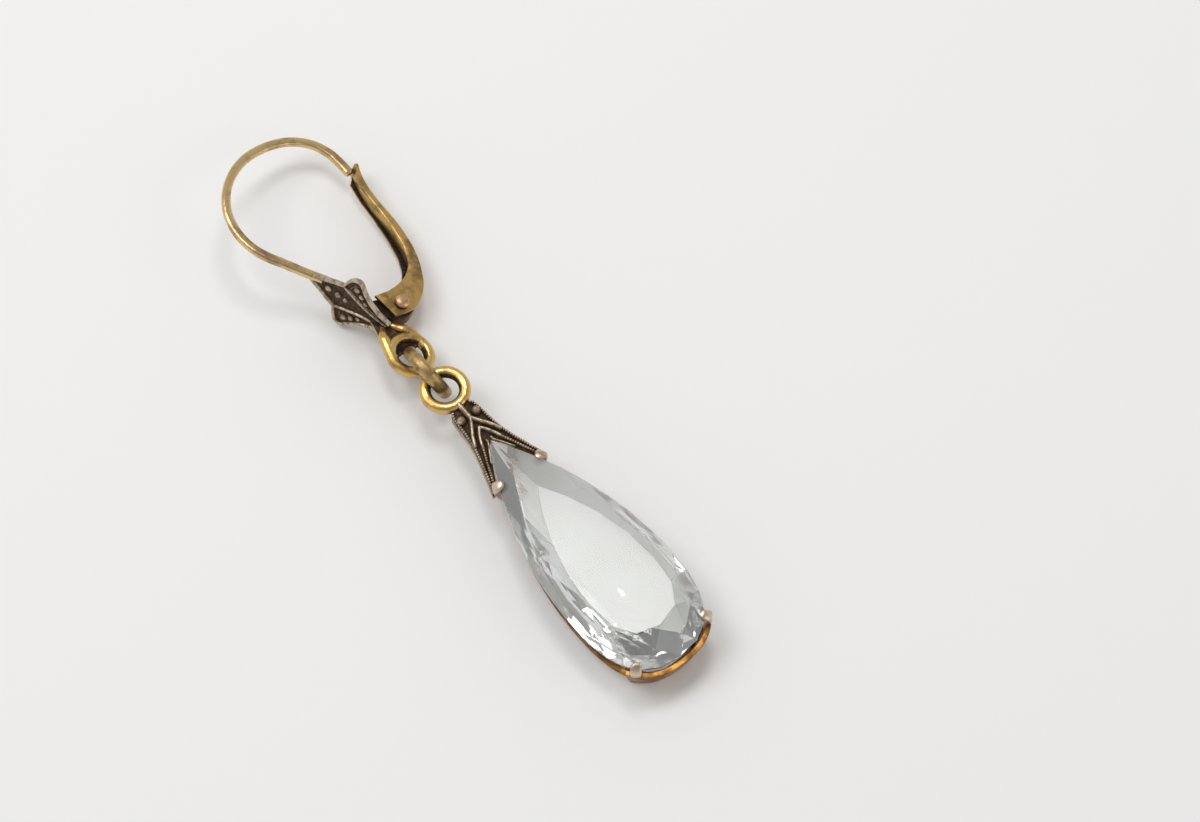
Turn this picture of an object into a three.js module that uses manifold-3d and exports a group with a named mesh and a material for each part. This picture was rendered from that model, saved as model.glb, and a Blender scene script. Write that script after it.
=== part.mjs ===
// Lever-back drop earring, lying on its side as it was laid down, in millimetres with +Z up.
// +X runs from the ear wire to the round end of the drop, the fan faces -Y and the lever is on the +Y side.
import * as THREE from "three";
import { mergeVertices } from "three/addons/utils/BufferGeometryUtils.js";
import { ConvexGeometry } from "three/addons/geometries/ConvexGeometry.js";
import Module from "manifold-3d";

const wasm = await Module();
wasm.setup();

// Pear-shaped stone
const stoneLength = 21.3;
const stoneWidth = 9.0;
const crownHeight = 1.45;
const girdleThickness = 0.2;
const pavilionDepth = 2.6;
const widestShare = 0.7;
const tipPower = 2.1;
const endPower = 2.5;
const tableShare = 0.64;
const girdleSides = 28;
const facetSides = 14;

// Setting: lower eye, cap, claws, collar and base rail, soldered into one
const seatGap = 0.12;
const culetClearance = 0.35;
const eyeToTip = 5.2;
const eyeRadius = 1.44;
const eyeWire = 0.82;
const capThickness = 0.95;
const capDepth = 1.5;
const capRim = 0.22;
const capTopShare = 0.05;
const capReliefHeight = 0.22;
const capBeadRadius = 0.34;
const clawWidth = 0.85;
const clawWall = 0.4;
const clawGrip = 0.55;
const upperClawShare = 0.155;
const lowerClawShare = 0.945;
const collarWall = 0.42;
const collarStartShare = 0.87;
const collarTaper = 0.7;
const railWidth = 0.55;
const railHeight = 0.7;
const railInset = 0.5;

// Jump ring between the two eyes
const jumpRadius = 1.85;
const jumpWire = 1.0;
const jumpTilt = 15;
const eyeSpacing = 4.0;
const hookEyeDrop = 0.73;

// Ear wire, in the plane of the loop, from the centre of the upper eye
const loopRadius = 5.87;
const loopCentreUp = 13.4;
const loopCentreBack = 0.5;
const wireInLever = 0.2;
const wireDepth = 0.66;
const wireThickness = 0.5;
const hookRoll = 18.8;
const hookPitch = 5.4;

// Fan on the front of the hook
const fanLength = 6.9;
const fanHalfWidth = 2.82;
const fanThickness = 0.3;
const fanLean = 19.8;
const fanTipUp = 9.1;
const fanTipFront = 2.42;
const fanRim = 0.24;
const fanReliefHeight = 0.14;
const fanBeadRadius = 0.24;

// Lever, its hinge block and its rivet, from the rivet's axis
const rivetUp = 3.47;
const rivetBack = 1.58;
const rivetRadius = 0.3;
const rivetHeadRadius = 0.55;
const rivetHeadHeight = 0.36;
const hingeClearance = 0.12;
const blockRadius = 1.0;
const leverWall = 0.27;
const leverFootWidth = 1.95;
const leverTipWidth = 1.36;
const leverReach = 11.1;

// Places that follow from the sizes above
const girdleHeight = culetClearance + pavilionDepth;
const eyeHeight = girdleHeight - girdleThickness;
const hookEyeHeight = eyeHeight - hookEyeDrop;
const stoneHalf = stoneWidth / 2;
const halfFoot = leverFootWidth / 2;
const blockThickness = leverFootWidth - 2 * (leverWall + hingeClearance);
const degrees = Math.PI / 180;

// A closed three.js geometry as a solid that can be joined and cut.
function toSolid(geometry) {
  const bare = geometry.index ? geometry.toNonIndexed() : geometry.clone();
  bare.deleteAttribute("normal");
  bare.deleteAttribute("uv");
  const merged = mergeVertices(bare, 1e-5);
  const triVerts = new Uint32Array(merged.index.array);
  const vertProperties = merged.attributes.position.array;
  return new wasm.Manifold(new wasm.Mesh({ numProp: 3, vertProperties, triVerts }));
}

function joined(solids) {
  return solids.reduce((all, next) => all.add(next));
}

function toMesh(solid, name, material) {
  const data = solid.getMesh();
  const geometry = new THREE.BufferGeometry();
  geometry.setAttribute("position", new THREE.BufferAttribute(new Float32Array(data.vertProperties), 3));
  geometry.setIndex(new THREE.BufferAttribute(new Uint32Array(data.triVerts), 1));
  const flat = geometry.toNonIndexed();
  flat.computeVertexNormals();
  const mesh = new THREE.Mesh(flat, material);
  mesh.name = name;
  return mesh;
}

function metal(color, roughness) {
  return new THREE.MeshStandardMaterial({ color, roughness, metalness: 1 });
}

// A flat outline of [x, y] points, extruded upwards from z0 to z1.
function slab(outline, z0, z1, holes = []) {
  const shape = new THREE.Shape(outline.map(([x, y]) => new THREE.Vector2(x, y)));
  shape.holes = holes.map((hole) => new THREE.Path(hole.map(([x, y]) => new THREE.Vector2(x, y))));
  const geometry = new THREE.ExtrudeGeometry(shape, { depth: z1 - z0, bevelEnabled: false });
  geometry.translate(0, 0, z0);
  return toSolid(geometry);
}

// A straight raised bar between two points; each end runs on by a quarter of its width.
function bar([ax, ay], [bx, by], width, z0, z1) {
  const length = Math.hypot(bx - ax, by - ay);
  const geometry = new THREE.BoxGeometry(length + width / 2, width, z1 - z0);
  geometry.rotateZ(Math.atan2(by - ay, bx - ax));
  geometry.translate((ax + bx) / 2, (ay + by) / 2, (z0 + z1) / 2);
  return toSolid(geometry);
}

function barsAlong(points, width, z0, z1) {
  return points.slice(1).map((point, i) => bar(points[i], point, width, z0, z1));
}

function ball(x, y, z, radius) {
  const geometry = new THREE.SphereGeometry(radius, 10, 8);
  geometry.translate(x, y, z);
  return toSolid(geometry);
}

// A pin with its axis along Z.
function pin(x, y, radius, z0, z1, sides) {
  const geometry = new THREE.CylinderGeometry(radius, radius, z1 - z0, sides);
  geometry.rotateX(Math.PI / 2);
  geometry.translate(x, y, (z0 + z1) / 2);
  return toSolid(geometry);
}

// A wire ring lying in the XY plane.
function wireRing(radius, wire, wireSides, steps) {
  return new THREE.TorusGeometry(radius, wire / 2, wireSides, steps);
}

// Half the stone's width at a share of its length from the pointed tip.
function pearHalfWidth(share, half) {
  if (share < widestShare) return half * (1 - ((widestShare - share) / widestShare) ** tipPower);
  const along = Math.min((share - widestShare) / (1 - widestShare), 1);
  return half * (1 - along ** endPower) ** (1 / endPower);
}

// Points along a line moved to the right of the way it runs; on an outline drawn anticlockwise that is outwards.
function movedRight(points, distance, closed) {
  const last = points.length - 1;
  return points.map(([x, y], i) => {
    const [bx, by] = points[i < last ? i + 1 : closed ? 0 : last];
    const [ax, ay] = points[i > 0 ? i - 1 : closed ? last : 0];
    const run = Math.hypot(bx - ax, by - ay);
    return [x + ((by - ay) / run) * distance, y - ((bx - ax) / run) * distance];
  });
}

// Points round the pear, anticlockwise from its tip, scaled about its widest place along and across.
function pearOutline(sides, alongScale, acrossScale) {
  const middle = eyeToTip + widestShare * stoneLength;
  const points = [];
  for (let i = 0; i < sides; i += 1) {
    const turn = (2 * Math.PI * i) / sides;
    const share = (1 - Math.cos(turn)) / 2;
    const x = (share - widestShare) * stoneLength;
    const y = -Math.sign(Math.sin(turn)) * pearHalfWidth(share, stoneHalf);
    points.push([middle + x * alongScale, y * acrossScale]);
  }
  return points;
}

// The cut stone: table, crown, girdle and pavilion with its culet; grow makes the seat that clears it.
function stoneGeometry(grow) {
  const rings = [
    [facetSides, tableShare, crownHeight + grow],
    [facetSides, (1 + tableShare) / 2, crownHeight * 0.62 + grow],
    [girdleSides, 1, girdleThickness / 2 + grow / 2],
    [girdleSides, 1, -girdleThickness / 2 - grow / 2],
    [facetSides, 0.56, -pavilionDepth * 0.6 - grow],
  ];
  const points = rings.flatMap(([sides, shrink, z]) =>
    movedRight(pearOutline(sides, shrink, shrink), grow, true).map(
      ([x, y]) => new THREE.Vector3(x, y, girdleHeight + z),
    ),
  );
  const keel = -pavilionDepth - grow;
  points.push(new THREE.Vector3(eyeToTip + widestShare * stoneLength, 0, girdleHeight + keel));
  return new ConvexGeometry(points);
}

// The cap's outline on one side, from the eye to the claw: shares of the way to the claw and of the
// half-width at the claw.
const capEdge = [
  { along: 0.17, across: 0.4 },
  { along: 0.24, across: 0.55 },
  { along: 0.4, across: 0.56 },
  { along: 0.6, across: 0.64 },
  { along: 0.8, across: 0.82 },
  { along: 1.0, across: 1.0 },
];

function capPoint({ along, across }, side, inset) {
  const claw = eyeToTip + upperClawShare * stoneLength;
  const halfWidth = pearHalfWidth(upperClawShare, stoneHalf) + clawWall;
  return [along * claw, side * (across * halfWidth - inset)];
}

// The shield-shaped cap over the stone's tip, with rims, two nested chevrons and two ball beads.
function capSolids() {
  const outline = (inset) => [
    ...capEdge.map((row) => capPoint(row, 1, inset)),
    ...[...capEdge].reverse().map((row) => capPoint(row, -1, inset)),
  ];
  const top = girdleHeight + crownHeight * capTopShare;
  const relief = top + capReliefHeight;
  const solids = [
    slab(outline(0), top - capThickness, top),
    slab(outline(capRim), top - capThickness - capDepth / 2, top - capThickness),
  ];
  const claw = capPoint(capEdge[5], 1, 0);
  for (const side of [1, -1]) {
    const rim = capEdge.slice(1).map((row) => capPoint(row, side, capRim / 2));
    const chevron = [
      [claw[0] * 0.39, 0],
      [claw[0] * 0.49, side * claw[1] * 0.26],
      [claw[0] * 0.58, side * claw[1] * 0.58],
    ];
    const inner = [
      [claw[0] * 0.5, 0],
      [claw[0] * 0.6, side * claw[1] * 0.27],
      [claw[0] * 0.98, side * claw[1] * 0.8],
    ];
    for (const line of [rim, chevron, inner])
      solids.push(...barsAlong(line, capRim, top - capRim, relief));
    solids.push(ball(claw[0] * 0.375, side * claw[1] * 0.36, top, capBeadRadius));
  }
  solids.push(bar([claw[0] * 0.2, 0], [claw[0] * 0.39, 0], capRim, top - capRim, relief));
  return solids;
}

// A claw on the girdle at a share of the stone's length: its leg stands outside and its top folds inwards.
function claw(share, side) {
  const step = 0.01;
  const x = eyeToTip + share * stoneLength;
  const y = side * pearHalfWidth(share, stoneHalf);
  const ahead = side * pearHalfWidth(share + step, stoneHalf) - y;
  const outward = Math.atan2(side * step * stoneLength, -side * ahead);
  const reach = clawWall + clawGrip;
  const top = girdleHeight + crownHeight * 0.62;
  const upper = new THREE.BoxGeometry(reach, clawWidth, top - girdleHeight + girdleThickness);
  upper.translate(clawWall - reach / 2 + seatGap, 0, (top + girdleHeight - girdleThickness) / 2);
  const legFoot = railHeight / 2;
  const lean = railInset + railWidth / 2 + clawWall / 2 + seatGap;
  const leg = new THREE.BoxGeometry(clawWall, clawWidth * 0.8, girdleHeight - legFoot);
  const places = leg.attributes.position;
  for (let i = 0; i < places.count; i += 1)
    if (places.getZ(i) < 0) places.setX(i, places.getX(i) - lean);
  leg.translate(clawWall / 2 + seatGap, 0, (girdleHeight + legFoot) / 2);
  return [upper, leg].map((geometry) => {
    geometry.rotateZ(outward);
    geometry.translate(x, y, 0);
    return toSolid(geometry);
  });
}

// The collar under the round end: a band between the girdle's outline above and a tucked-in line below.
function collar() {
  const steps = 14;
  const top = girdleHeight - girdleThickness;
  const middle = eyeToTip + widestShare * stoneLength;
  const sections = [];
  for (let i = 0; i <= steps; i += 1) {
    const turn = (i / steps) * 2 - 1;
    const share = 1 - (1 - collarStartShare) * turn * turn;
    const x = eyeToTip + share * stoneLength;
    const y = Math.sign(turn) * pearHalfWidth(share, stoneHalf);
    const out = new THREE.Vector2(x - middle, y).normalize();
    const place = (radial, z) => [x + out.x * radial, y + out.y * radial, z];
    sections.push([
      place(seatGap - collarTaper, 0),
      place(seatGap + collarWall - collarTaper, 0),
      place(seatGap + collarWall, top),
      place(seatGap, top),
    ]);
  }
  return toSolid(loft(sections));
}

// A closed solid through sections with the same number of corners, each turning the same way.
function loft(sections) {
  const corners = sections[0].length;
  const position = [];
  const quad = (a, b, c, d) => position.push(...a, ...b, ...c, ...a, ...c, ...d);
  for (let i = 0; i < sections.length - 1; i += 1)
    for (let j = 0; j < corners; j += 1) {
      const k = (j + 1) % corners;
      quad(sections[i][j], sections[i + 1][j], sections[i + 1][k], sections[i][k]);
    }
  const first = sections[0];
  const last = sections[sections.length - 1];
  quad(first[0], first[1], first[2], first[3]);
  quad(last[3], last[2], last[1], last[0]);
  const geometry = new THREE.BufferGeometry();
  geometry.setAttribute("position", new THREE.Float32BufferAttribute(position, 3));
  return geometry;
}

// The flat rail under the stone that the drop lies on.
function baseRail() {
  const drawnIn = (inset) =>
    pearOutline(girdleSides, 1 - (2 * inset) / stoneLength, 1 - inset / stoneHalf);
  return slab(drawnIn(railInset), 0, railHeight, [drawnIn(railInset + railWidth).reverse()]);
}

// Lower eye with the neck that joins it to the cap.
function lowerEye() {
  const eye = wireRing(eyeRadius, eyeWire, 10, 22);
  eye.translate(0, 0, eyeHeight);
  const neckHalf = eyeWire * 0.8;
  const neckEnd = eyeToTip * 0.4;
  const neck = slab(
    [[eyeRadius * 0.85, -neckHalf], [neckEnd, -neckHalf], [neckEnd, neckHalf], [eyeRadius * 0.85, neckHalf]],
    eyeHeight - eyeWire * 0.42,
    eyeHeight + eyeWire * 0.42,
  );
  return [toSolid(eye), neck];
}

function settingMesh() {
  const solids = [...lowerEye(), ...capSolids(), collar(), baseRail()];
  for (const side of [1, -1])
    for (const share of [upperClawShare, lowerClawShare]) solids.push(...claw(share, side));
  const seat = toSolid(stoneGeometry(seatGap));
  return toMesh(joined(solids).subtract(seat), "setting", metal(0xc8b48c, 0.35));
}

function stoneMesh() {
  const material = new THREE.MeshStandardMaterial({ color: 0xe4efee, roughness: 0.05, metalness: 0 });
  return toMesh(toSolid(stoneGeometry(0)), "stone", material);
}

function jumpRingMesh() {
  const mesh = toMesh(toSolid(wireRing(jumpRadius, jumpWire, 10, 24)), "jump_ring", metal(0xc9a96b, 0.3));
  mesh.rotation.x = Math.PI / 2 + jumpTilt * degrees;
  mesh.position.set(-eyeSpacing / 2, 0, (eyeHeight + hookEyeHeight) / 2);
  return mesh;
}

// The loop's line from the lever round to the fan, from its middle: shares of its radius up and back.
const loopLine = [
  { up: 0.315, back: 0.865 },
  { up: 0.532, back: 0.823 },
  { up: 0.729, back: 0.715 },
  { up: 0.888, back: 0.52 },
  { up: 0.971, back: 0.29 },
  { up: 1.0, back: 0.044 },
  { up: 0.973, back: -0.235 },
  { up: 0.864, back: -0.504 },
  { up: 0.685, back: -0.731 },
  { up: 0.463, back: -0.882 },
  { up: 0.232, back: -0.947 },
  { up: 0.022, back: -0.945 },
  { up: -0.155, back: -0.898 },
  { up: -0.308, back: -0.816 },
  { up: -0.438, back: -0.719 },
  { up: -0.586, back: -0.617 },
  { up: -0.698, back: -0.538 },
];

// The ear wire: it starts in the lever's mouth, runs round the loop and ends behind the fan.
function earWire() {
  const behindFan = wireDepth / 2 + fanThickness / 2;
  const mouth = new THREE.Vector3(
    -(rivetUp + leverReach - wireInLever),
    rivetBack + leverReach * leverOuter[0].back - leverWall - hingeClearance - wireDepth / 2,
    0,
  );
  const loop = loopLine
    .map(({ up, back }) => new THREE.Vector3(-loopCentreUp - up * loopRadius, loopCentreBack + back * loopRadius, 0))
    .filter((point) => point.x < mouth.x - wireDepth || point.y < 0);
  const path = new THREE.CatmullRomCurve3([
    mouth,
    ...loop,
    fanPlace(fanLength * 0.3, 0, behindFan),
    fanPlace(fanLength * 0.72, 0, behindFan),
  ]);
  const half = wireDepth / 2;
  const side = wireThickness / 2;
  const section = new THREE.Shape(
    [[-1, -0.6], [-0.6, -1], [0.6, -1], [1, -0.6], [1, 0.6], [0.6, 1], [-0.6, 1], [-1, 0.6]].map(
      ([u, v]) => new THREE.Vector2(u * side, v * half),
    ),
  );
  return toSolid(new THREE.ExtrudeGeometry(section, { steps: 44, bevelEnabled: false, extrudePath: path }));
}

// A place on the fan: along from its tip, across it, and behind its middle plane.
function fanPlace(along, across, behind) {
  const lean = fanLean * degrees;
  return new THREE.Vector3(
    -fanTipUp + along * Math.cos(lean) - behind * Math.sin(lean),
    -fanTipFront + along * Math.sin(lean) + behind * Math.cos(lean),
    across,
  );
}

// Half the fan's outline: shares of its length from the tip and of its half-width.
const fanEdge = [
  { along: 0.0, across: 0.0 },
  { along: 0.05, across: 0.1 },
  { along: 0.15, across: 0.2 },
  { along: 0.28, across: 0.38 },
  { along: 0.375, across: 0.48 },
  { along: 0.395, across: 0.66 },
  { along: 0.435, across: 0.87 },
  { along: 0.5, across: 1.0 },
  { along: 0.555, across: 0.97 },
  { along: 0.635, across: 0.7 },
  { along: 0.72, across: 0.5 },
  { along: 0.84, across: 0.33 },
  { along: 1.0, across: 0.2 },
];

// Where the bead lines run on the centre lobe and on a side lobe.
const fanBeads = [
  { along: 0.26, across: 0, size: 1.0 },
  { along: 0.375, across: 0, size: 0.9 },
  { along: 0.47, across: 0, size: 0.75 },
  { along: 0.535, across: 0.66, size: 1.0 },
  { along: 0.61, across: 0.48, size: 0.85 },
  { along: 0.68, across: 0.34, size: 0.7 },
];

// The fan, modelled flat in its own plane and then set on the hook.
function fanSolids() {
  const flat = ({ along, across }, side) => [along * fanLength, side * across * fanHalfWidth];
  const outline = [
    ...fanEdge.map((row) => flat(row, 1)),
    ...fanEdge.slice(1).reverse().map((row) => flat(row, -1)),
  ];
  const face = fanThickness / 2;
  const raised = face + fanReliefHeight;
  const solids = [slab(outline, -face, face)];
  for (const side of [1, -1]) {
    const inside = ([x, y]) => [x + fanRim * 0.3, y - side * fanRim * 0.45];
    const rim = fanEdge.slice(1).map((row) => inside(flat(row, side)));
    rim.unshift([fanRim, 0]);
    const seam = [rim[4], flat({ along: 0.62, across: 0.22 }, side), flat({ along: 0.95, across: 0.08 }, side)];
    solids.push(...barsAlong(rim, fanRim, 0, raised), ...barsAlong(seam, fanRim, 0, raised));
  }
  for (const { along, across, size } of fanBeads)
    for (const side of across ? [1, -1] : [1])
      solids.push(ball(along * fanLength, side * across * fanHalfWidth, face, fanBeadRadius * size));
  const rest = new THREE.Matrix4().makeBasis(
    fanPlace(1, 0, 0).sub(fanPlace(0, 0, 0)),
    new THREE.Vector3(0, 0, 1),
    fanPlace(0, 0, -1).sub(fanPlace(0, 0, 0)),
  );
  rest.setPosition(fanPlace(0, 0, 0));
  return joined(solids).transform(rest.elements);
}

// The block that the lever's ears clasp, bored for the rivet, with its neck to the fan's foot.
function hingeBlock() {
  const half = blockThickness / 2;
  const foot = fanPlace(fanLength * 0.9, 0, 0);
  const upper = fanPlace(fanLength * 0.62, 0, 0);
  const knuckle = pin(-rivetUp, rivetBack, blockRadius, -half, half, 20);
  const neck = slab(
    [
      [upper.x, upper.y],
      [foot.x, foot.y],
      [-rivetUp + blockRadius * 0.85, rivetBack],
      [-rivetUp - blockRadius * 0.85, rivetBack],
    ],
    -half,
    half,
  );
  const bore = pin(-rivetUp, rivetBack, rivetRadius + hingeClearance, -half * 2, half * 2, 16);
  return joined([knuckle, neck]).subtract(bore);
}

// Where an eye's neck meets its ring, as shares of the ring's radius: the two outer places and the arc between.
const neckFillet = [
  { along: 0.5, across: 1.07 },
  { along: 0.31, across: 0.85 },
  { along: 0.69, across: 0.58 },
  { along: 0.9, across: 0.0 },
  { along: 0.69, across: -0.58 },
  { along: 0.31, across: -0.85 },
  { along: 0.5, across: -1.07 },
];

// A flat neck from a foot to the ring it flares into; toFoot is -1 where the foot is towards -X.
function eyeNeck(foot, footHalf, toFoot, z0, z1) {
  const flare = neckFillet.map(({ along, across }) => [toFoot * along * eyeRadius, across * eyeRadius]);
  const outline = [...flare, [foot.x, foot.y - footHalf], [foot.x, foot.y + footHalf]];
  return slab(outline, z0, z1);
}

function upperEye() {
  const foot = fanPlace(fanLength * 0.86, 0, 0);
  const half = eyeWire * 0.42;
  return [toSolid(wireRing(eyeRadius, eyeWire, 10, 22)), eyeNeck(foot, eyeWire * 0.55, -1, -half, half)];
}

function earHookMesh() {
  const solid = joined([earWire(), fanSolids(), hingeBlock(), ...upperEye()]);
  return toMesh(solid, "ear_hook", metal(0xc9a96b, 0.3));
}

// The lever's outline, as shares of its reach from the rivet: along is up towards the loop's top, back is
// away from the wearer's front.
const leverOuter = [
  { along: 1.0, back: 0.43 },
  { along: 0.93, back: 0.398 },
  { along: 0.84, back: 0.376 },
  { along: 0.7, back: 0.366 },
  { along: 0.585, back: 0.37 },
  { along: 0.445, back: 0.365 },
  { along: 0.276, back: 0.337 },
  { along: 0.15, back: 0.289 },
  { along: 0.036, back: 0.222 },
  { along: -0.035, back: 0.14 },
  { along: -0.075, back: 0.055 },
  { along: -0.075, back: -0.012 },
  { along: -0.058, back: -0.098 },
];
const leverInner = [
  { along: 0.129, back: -0.125 },
  { along: 0.116, back: -0.02 },
  { along: 0.125, back: 0.07 },
  { along: 0.155, back: 0.16 },
  { along: 0.214, back: 0.235 },
  { along: 0.301, back: 0.28 },
  { along: 0.45, back: 0.312 },
  { along: 0.638, back: 0.326 },
  { along: 0.8, back: 0.33 },
  { along: 0.93, back: 0.345 },
];

function leverPoint({ along, back }) {
  return [-along * leverReach, back * leverReach];
}

// The lever: a channel open towards the loop, narrower at its tip, its two ears bored for the rivet.
function leverMesh() {
  const outline = [...leverOuter, ...leverInner].map(leverPoint);
  const body = slab(outline, -halfFoot, halfFoot);
  const webStart = leverOuter.slice(0, 10).map(leverPoint);
  const hollowEdge = movedRight(webStart, leverWall, false);
  const first = hollowEdge[0];
  const last = hollowEdge[hollowEdge.length - 1];
  const beyond = leverReach * 0.3;
  const hollowOutline = [
    [first[0] - beyond, first[1]],
    ...hollowEdge,
    [last[0] + beyond, last[1] - beyond * 0.6],
    [last[0], -beyond * 2],
    [first[0] - beyond, -beyond],
  ];
  const hollowHalf = halfFoot - leverWall;
  const taper = (leverFootWidth - leverTipWidth) / 2;
  const narrow = (solid) =>
    solid.warp((point) => {
      const share = Math.min(Math.max(-point[0] / leverReach - 0.15, 0) / 0.85, 1);
      const side = Math.sign(point[2]);
      point[2] -= side * taper * share;
    });
  const hollow = slab(hollowOutline, -hollowHalf, hollowHalf);
  const bore = pin(0, 0, rivetRadius + hingeClearance, -leverFootWidth, leverFootWidth, 16);
  const solid = narrow(body.subtract(hollow)).subtract(bore);
  return toMesh(solid, "lever", metal(0xbf9a58, 0.35));
}

function rivetMesh() {
  const inner = halfFoot + hingeClearance;
  const head = (z0) => pin(0, 0, rivetHeadRadius, z0, z0 + rivetHeadHeight, 16);
  const shaft = pin(0, 0, rivetRadius, -inner - rivetHeadHeight / 2, inner + rivetHeadHeight / 2, 16);
  const solid = joined([shaft, head(inner), head(-inner - rivetHeadHeight)]);
  return toMesh(solid, "rivet", metal(0xd0a070, 0.35));
}

// The hook with its lever hangs from the jump ring by its eye and leans as it lies.
function hookGroup() {
  const group = new THREE.Group();
  const hinge = new THREE.Group();
  hinge.position.set(-rivetUp, rivetBack, 0);
  hinge.add(leverMesh(), rivetMesh());
  group.add(earHookMesh(), hinge);
  group.rotation.set(-hookRoll * degrees, hookPitch * degrees, 0);
  group.position.set(-eyeSpacing, 0, hookEyeHeight);
  return group;
}

const earring = new THREE.Group();
earring.add(hookGroup(), jumpRingMesh(), settingMesh(), stoneMesh());
const extent = new THREE.Box3().setFromObject(earring, true);
earring.position.set(-(extent.min.x + extent.max.x) / 2, -(extent.min.y + extent.max.y) / 2, -extent.min.z);

export default earring;
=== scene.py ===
"""A lever-back drop earring lying on a table: the finished visual model over its CAD frame.

The gold hook with its fan, the lever, rivet and jump ring, and the claw-set pear drop are each built by a
class of their own. Sizes are in millimetres and turn into metres when a mesh is made.
"""

from __future__ import annotations

import logging
import math
from dataclasses import dataclass, field
from enum import Enum
from typing import Callable, Iterable, Sequence

import bmesh
import bpy
import numpy as np
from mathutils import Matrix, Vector
from mathutils.bvhtree import BVHTree


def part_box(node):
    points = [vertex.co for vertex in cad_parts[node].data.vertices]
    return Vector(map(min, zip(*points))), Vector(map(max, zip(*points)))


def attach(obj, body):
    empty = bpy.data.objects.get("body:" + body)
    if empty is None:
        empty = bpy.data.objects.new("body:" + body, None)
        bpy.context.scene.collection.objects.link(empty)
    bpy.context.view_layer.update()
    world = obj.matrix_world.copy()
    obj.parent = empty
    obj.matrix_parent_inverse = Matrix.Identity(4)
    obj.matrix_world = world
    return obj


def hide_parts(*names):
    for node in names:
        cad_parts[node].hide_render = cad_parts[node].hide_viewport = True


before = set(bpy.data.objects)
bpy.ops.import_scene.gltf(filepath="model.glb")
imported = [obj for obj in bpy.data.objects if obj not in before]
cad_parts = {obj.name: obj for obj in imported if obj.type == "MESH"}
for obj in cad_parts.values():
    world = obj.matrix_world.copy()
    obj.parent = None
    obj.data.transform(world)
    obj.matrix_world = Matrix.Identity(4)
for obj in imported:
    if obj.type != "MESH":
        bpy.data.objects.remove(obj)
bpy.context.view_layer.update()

MM = 0.001
# How the hook lies: from the jump ring's centre to the eyes, then its roll and pitch in degrees.
EYE_STEP = 2.0
UPPER_EYE_DROP = 0.365
HOOK_ROLL = -18.8
HOOK_PITCH = 5.4
# From the jump ring's centre to the middle of the picture, in millimetres.
PICTURE_MIDDLE = (10.285, 7.549, 0.365)
# How far the upper eye's neck stops short of the middle of the eye's wire.
NECK_SEAT = 0.14
# A dome's radius and height as shares, from its foot to its top.
DOME = ((1.0, 0.0), (1.0, 0.35), (0.97, 0.55), (0.86, 0.78), (0.62, 0.93), (0.3, 0.99), (0.06, 1.0))
# How the dirt and painted shade are found: how far off the metal its rays start, in millimetres, and how much
# sunk ground and close neighbours count; close neighbours add painted shade in corners and between parts.
RAY_START = 0.012
RELIEF_WEIGHT = 0.75
CORNER_WEIGHT = 1.5
log = logging.getLogger("earring")


class Side(Enum):
    """The two sides of the drop's long axis."""

    LEFT = 1.0
    RIGHT = -1.0


class Slot(Enum):
    """The record's material slots."""

    HOOK = "gold"
    LEVER = "lever_gold"
    RIVET = "rivet"
    RING = "ring_gold"
    SETTING = "setting"
    STONE = "stone"


@dataclass(frozen=True)
class Place:
    """A local frame in millimetres.

    Args:
        origin: Where the local origin is in the shared frame.
        axes: Three rows, the local X, Y and Z directions in the shared frame.
    """

    origin: np.ndarray
    axes: np.ndarray

    def out(self, points: np.ndarray) -> np.ndarray:
        """Returns local points in the shared frame.

        Args:
            points: Local points, three numbers in the last axis.

        Returns:
            The same points in the shared frame, in millimetres.
        """
        return np.asarray(points, float) @ self.axes + self.origin

    def moved(self, x: float, y: float, z: float) -> "Place":
        """Returns this frame with its origin moved along its own axes.

        Args:
            x: Millimetres along the local X.
            y: Millimetres along the local Y.
            z: Millimetres along the local Z.

        Returns:
            The moved frame.
        """
        return Place(self.out(np.array([x, y, z])), self.axes)


def turned_place(origin: np.ndarray, roll: float, pitch: float) -> Place:
    """Returns a frame that is pitched about its Y and then rolled about the X axis.

    Args:
        origin: Its origin, in millimetres.
        roll: Turn about X, in degrees.
        pitch: Turn about Y, in degrees.

    Returns:
        The turned frame.
    """
    a, b = math.radians(roll), math.radians(pitch)
    roll_m = np.array([[1, 0, 0], [0, math.cos(a), -math.sin(a)], [0, math.sin(a), math.cos(a)]])
    pitch_m = np.array([[math.cos(b), 0, math.sin(b)], [0, 1, 0], [-math.sin(b), 0, math.cos(b)]])
    return Place(origin, (roll_m @ pitch_m).T)


def node_centre(node: str) -> np.ndarray:
    """Returns the middle of a CAD node's box.

    Args:
        node: The node's name.

    Returns:
        The middle of its box, in millimetres.
    """
    low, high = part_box(node)
    return np.array((low + high) / 2) / MM


def linked(name: str, data: bpy.types.ID) -> bpy.types.Object:
    """Makes an object and puts it in the scene.

    Args:
        name: Its name.
        data: Its mesh, camera or light.

    Returns:
        The object.
    """
    made = bpy.data.objects.new(name, data)
    bpy.context.scene.collection.objects.link(made)
    return made


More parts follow.
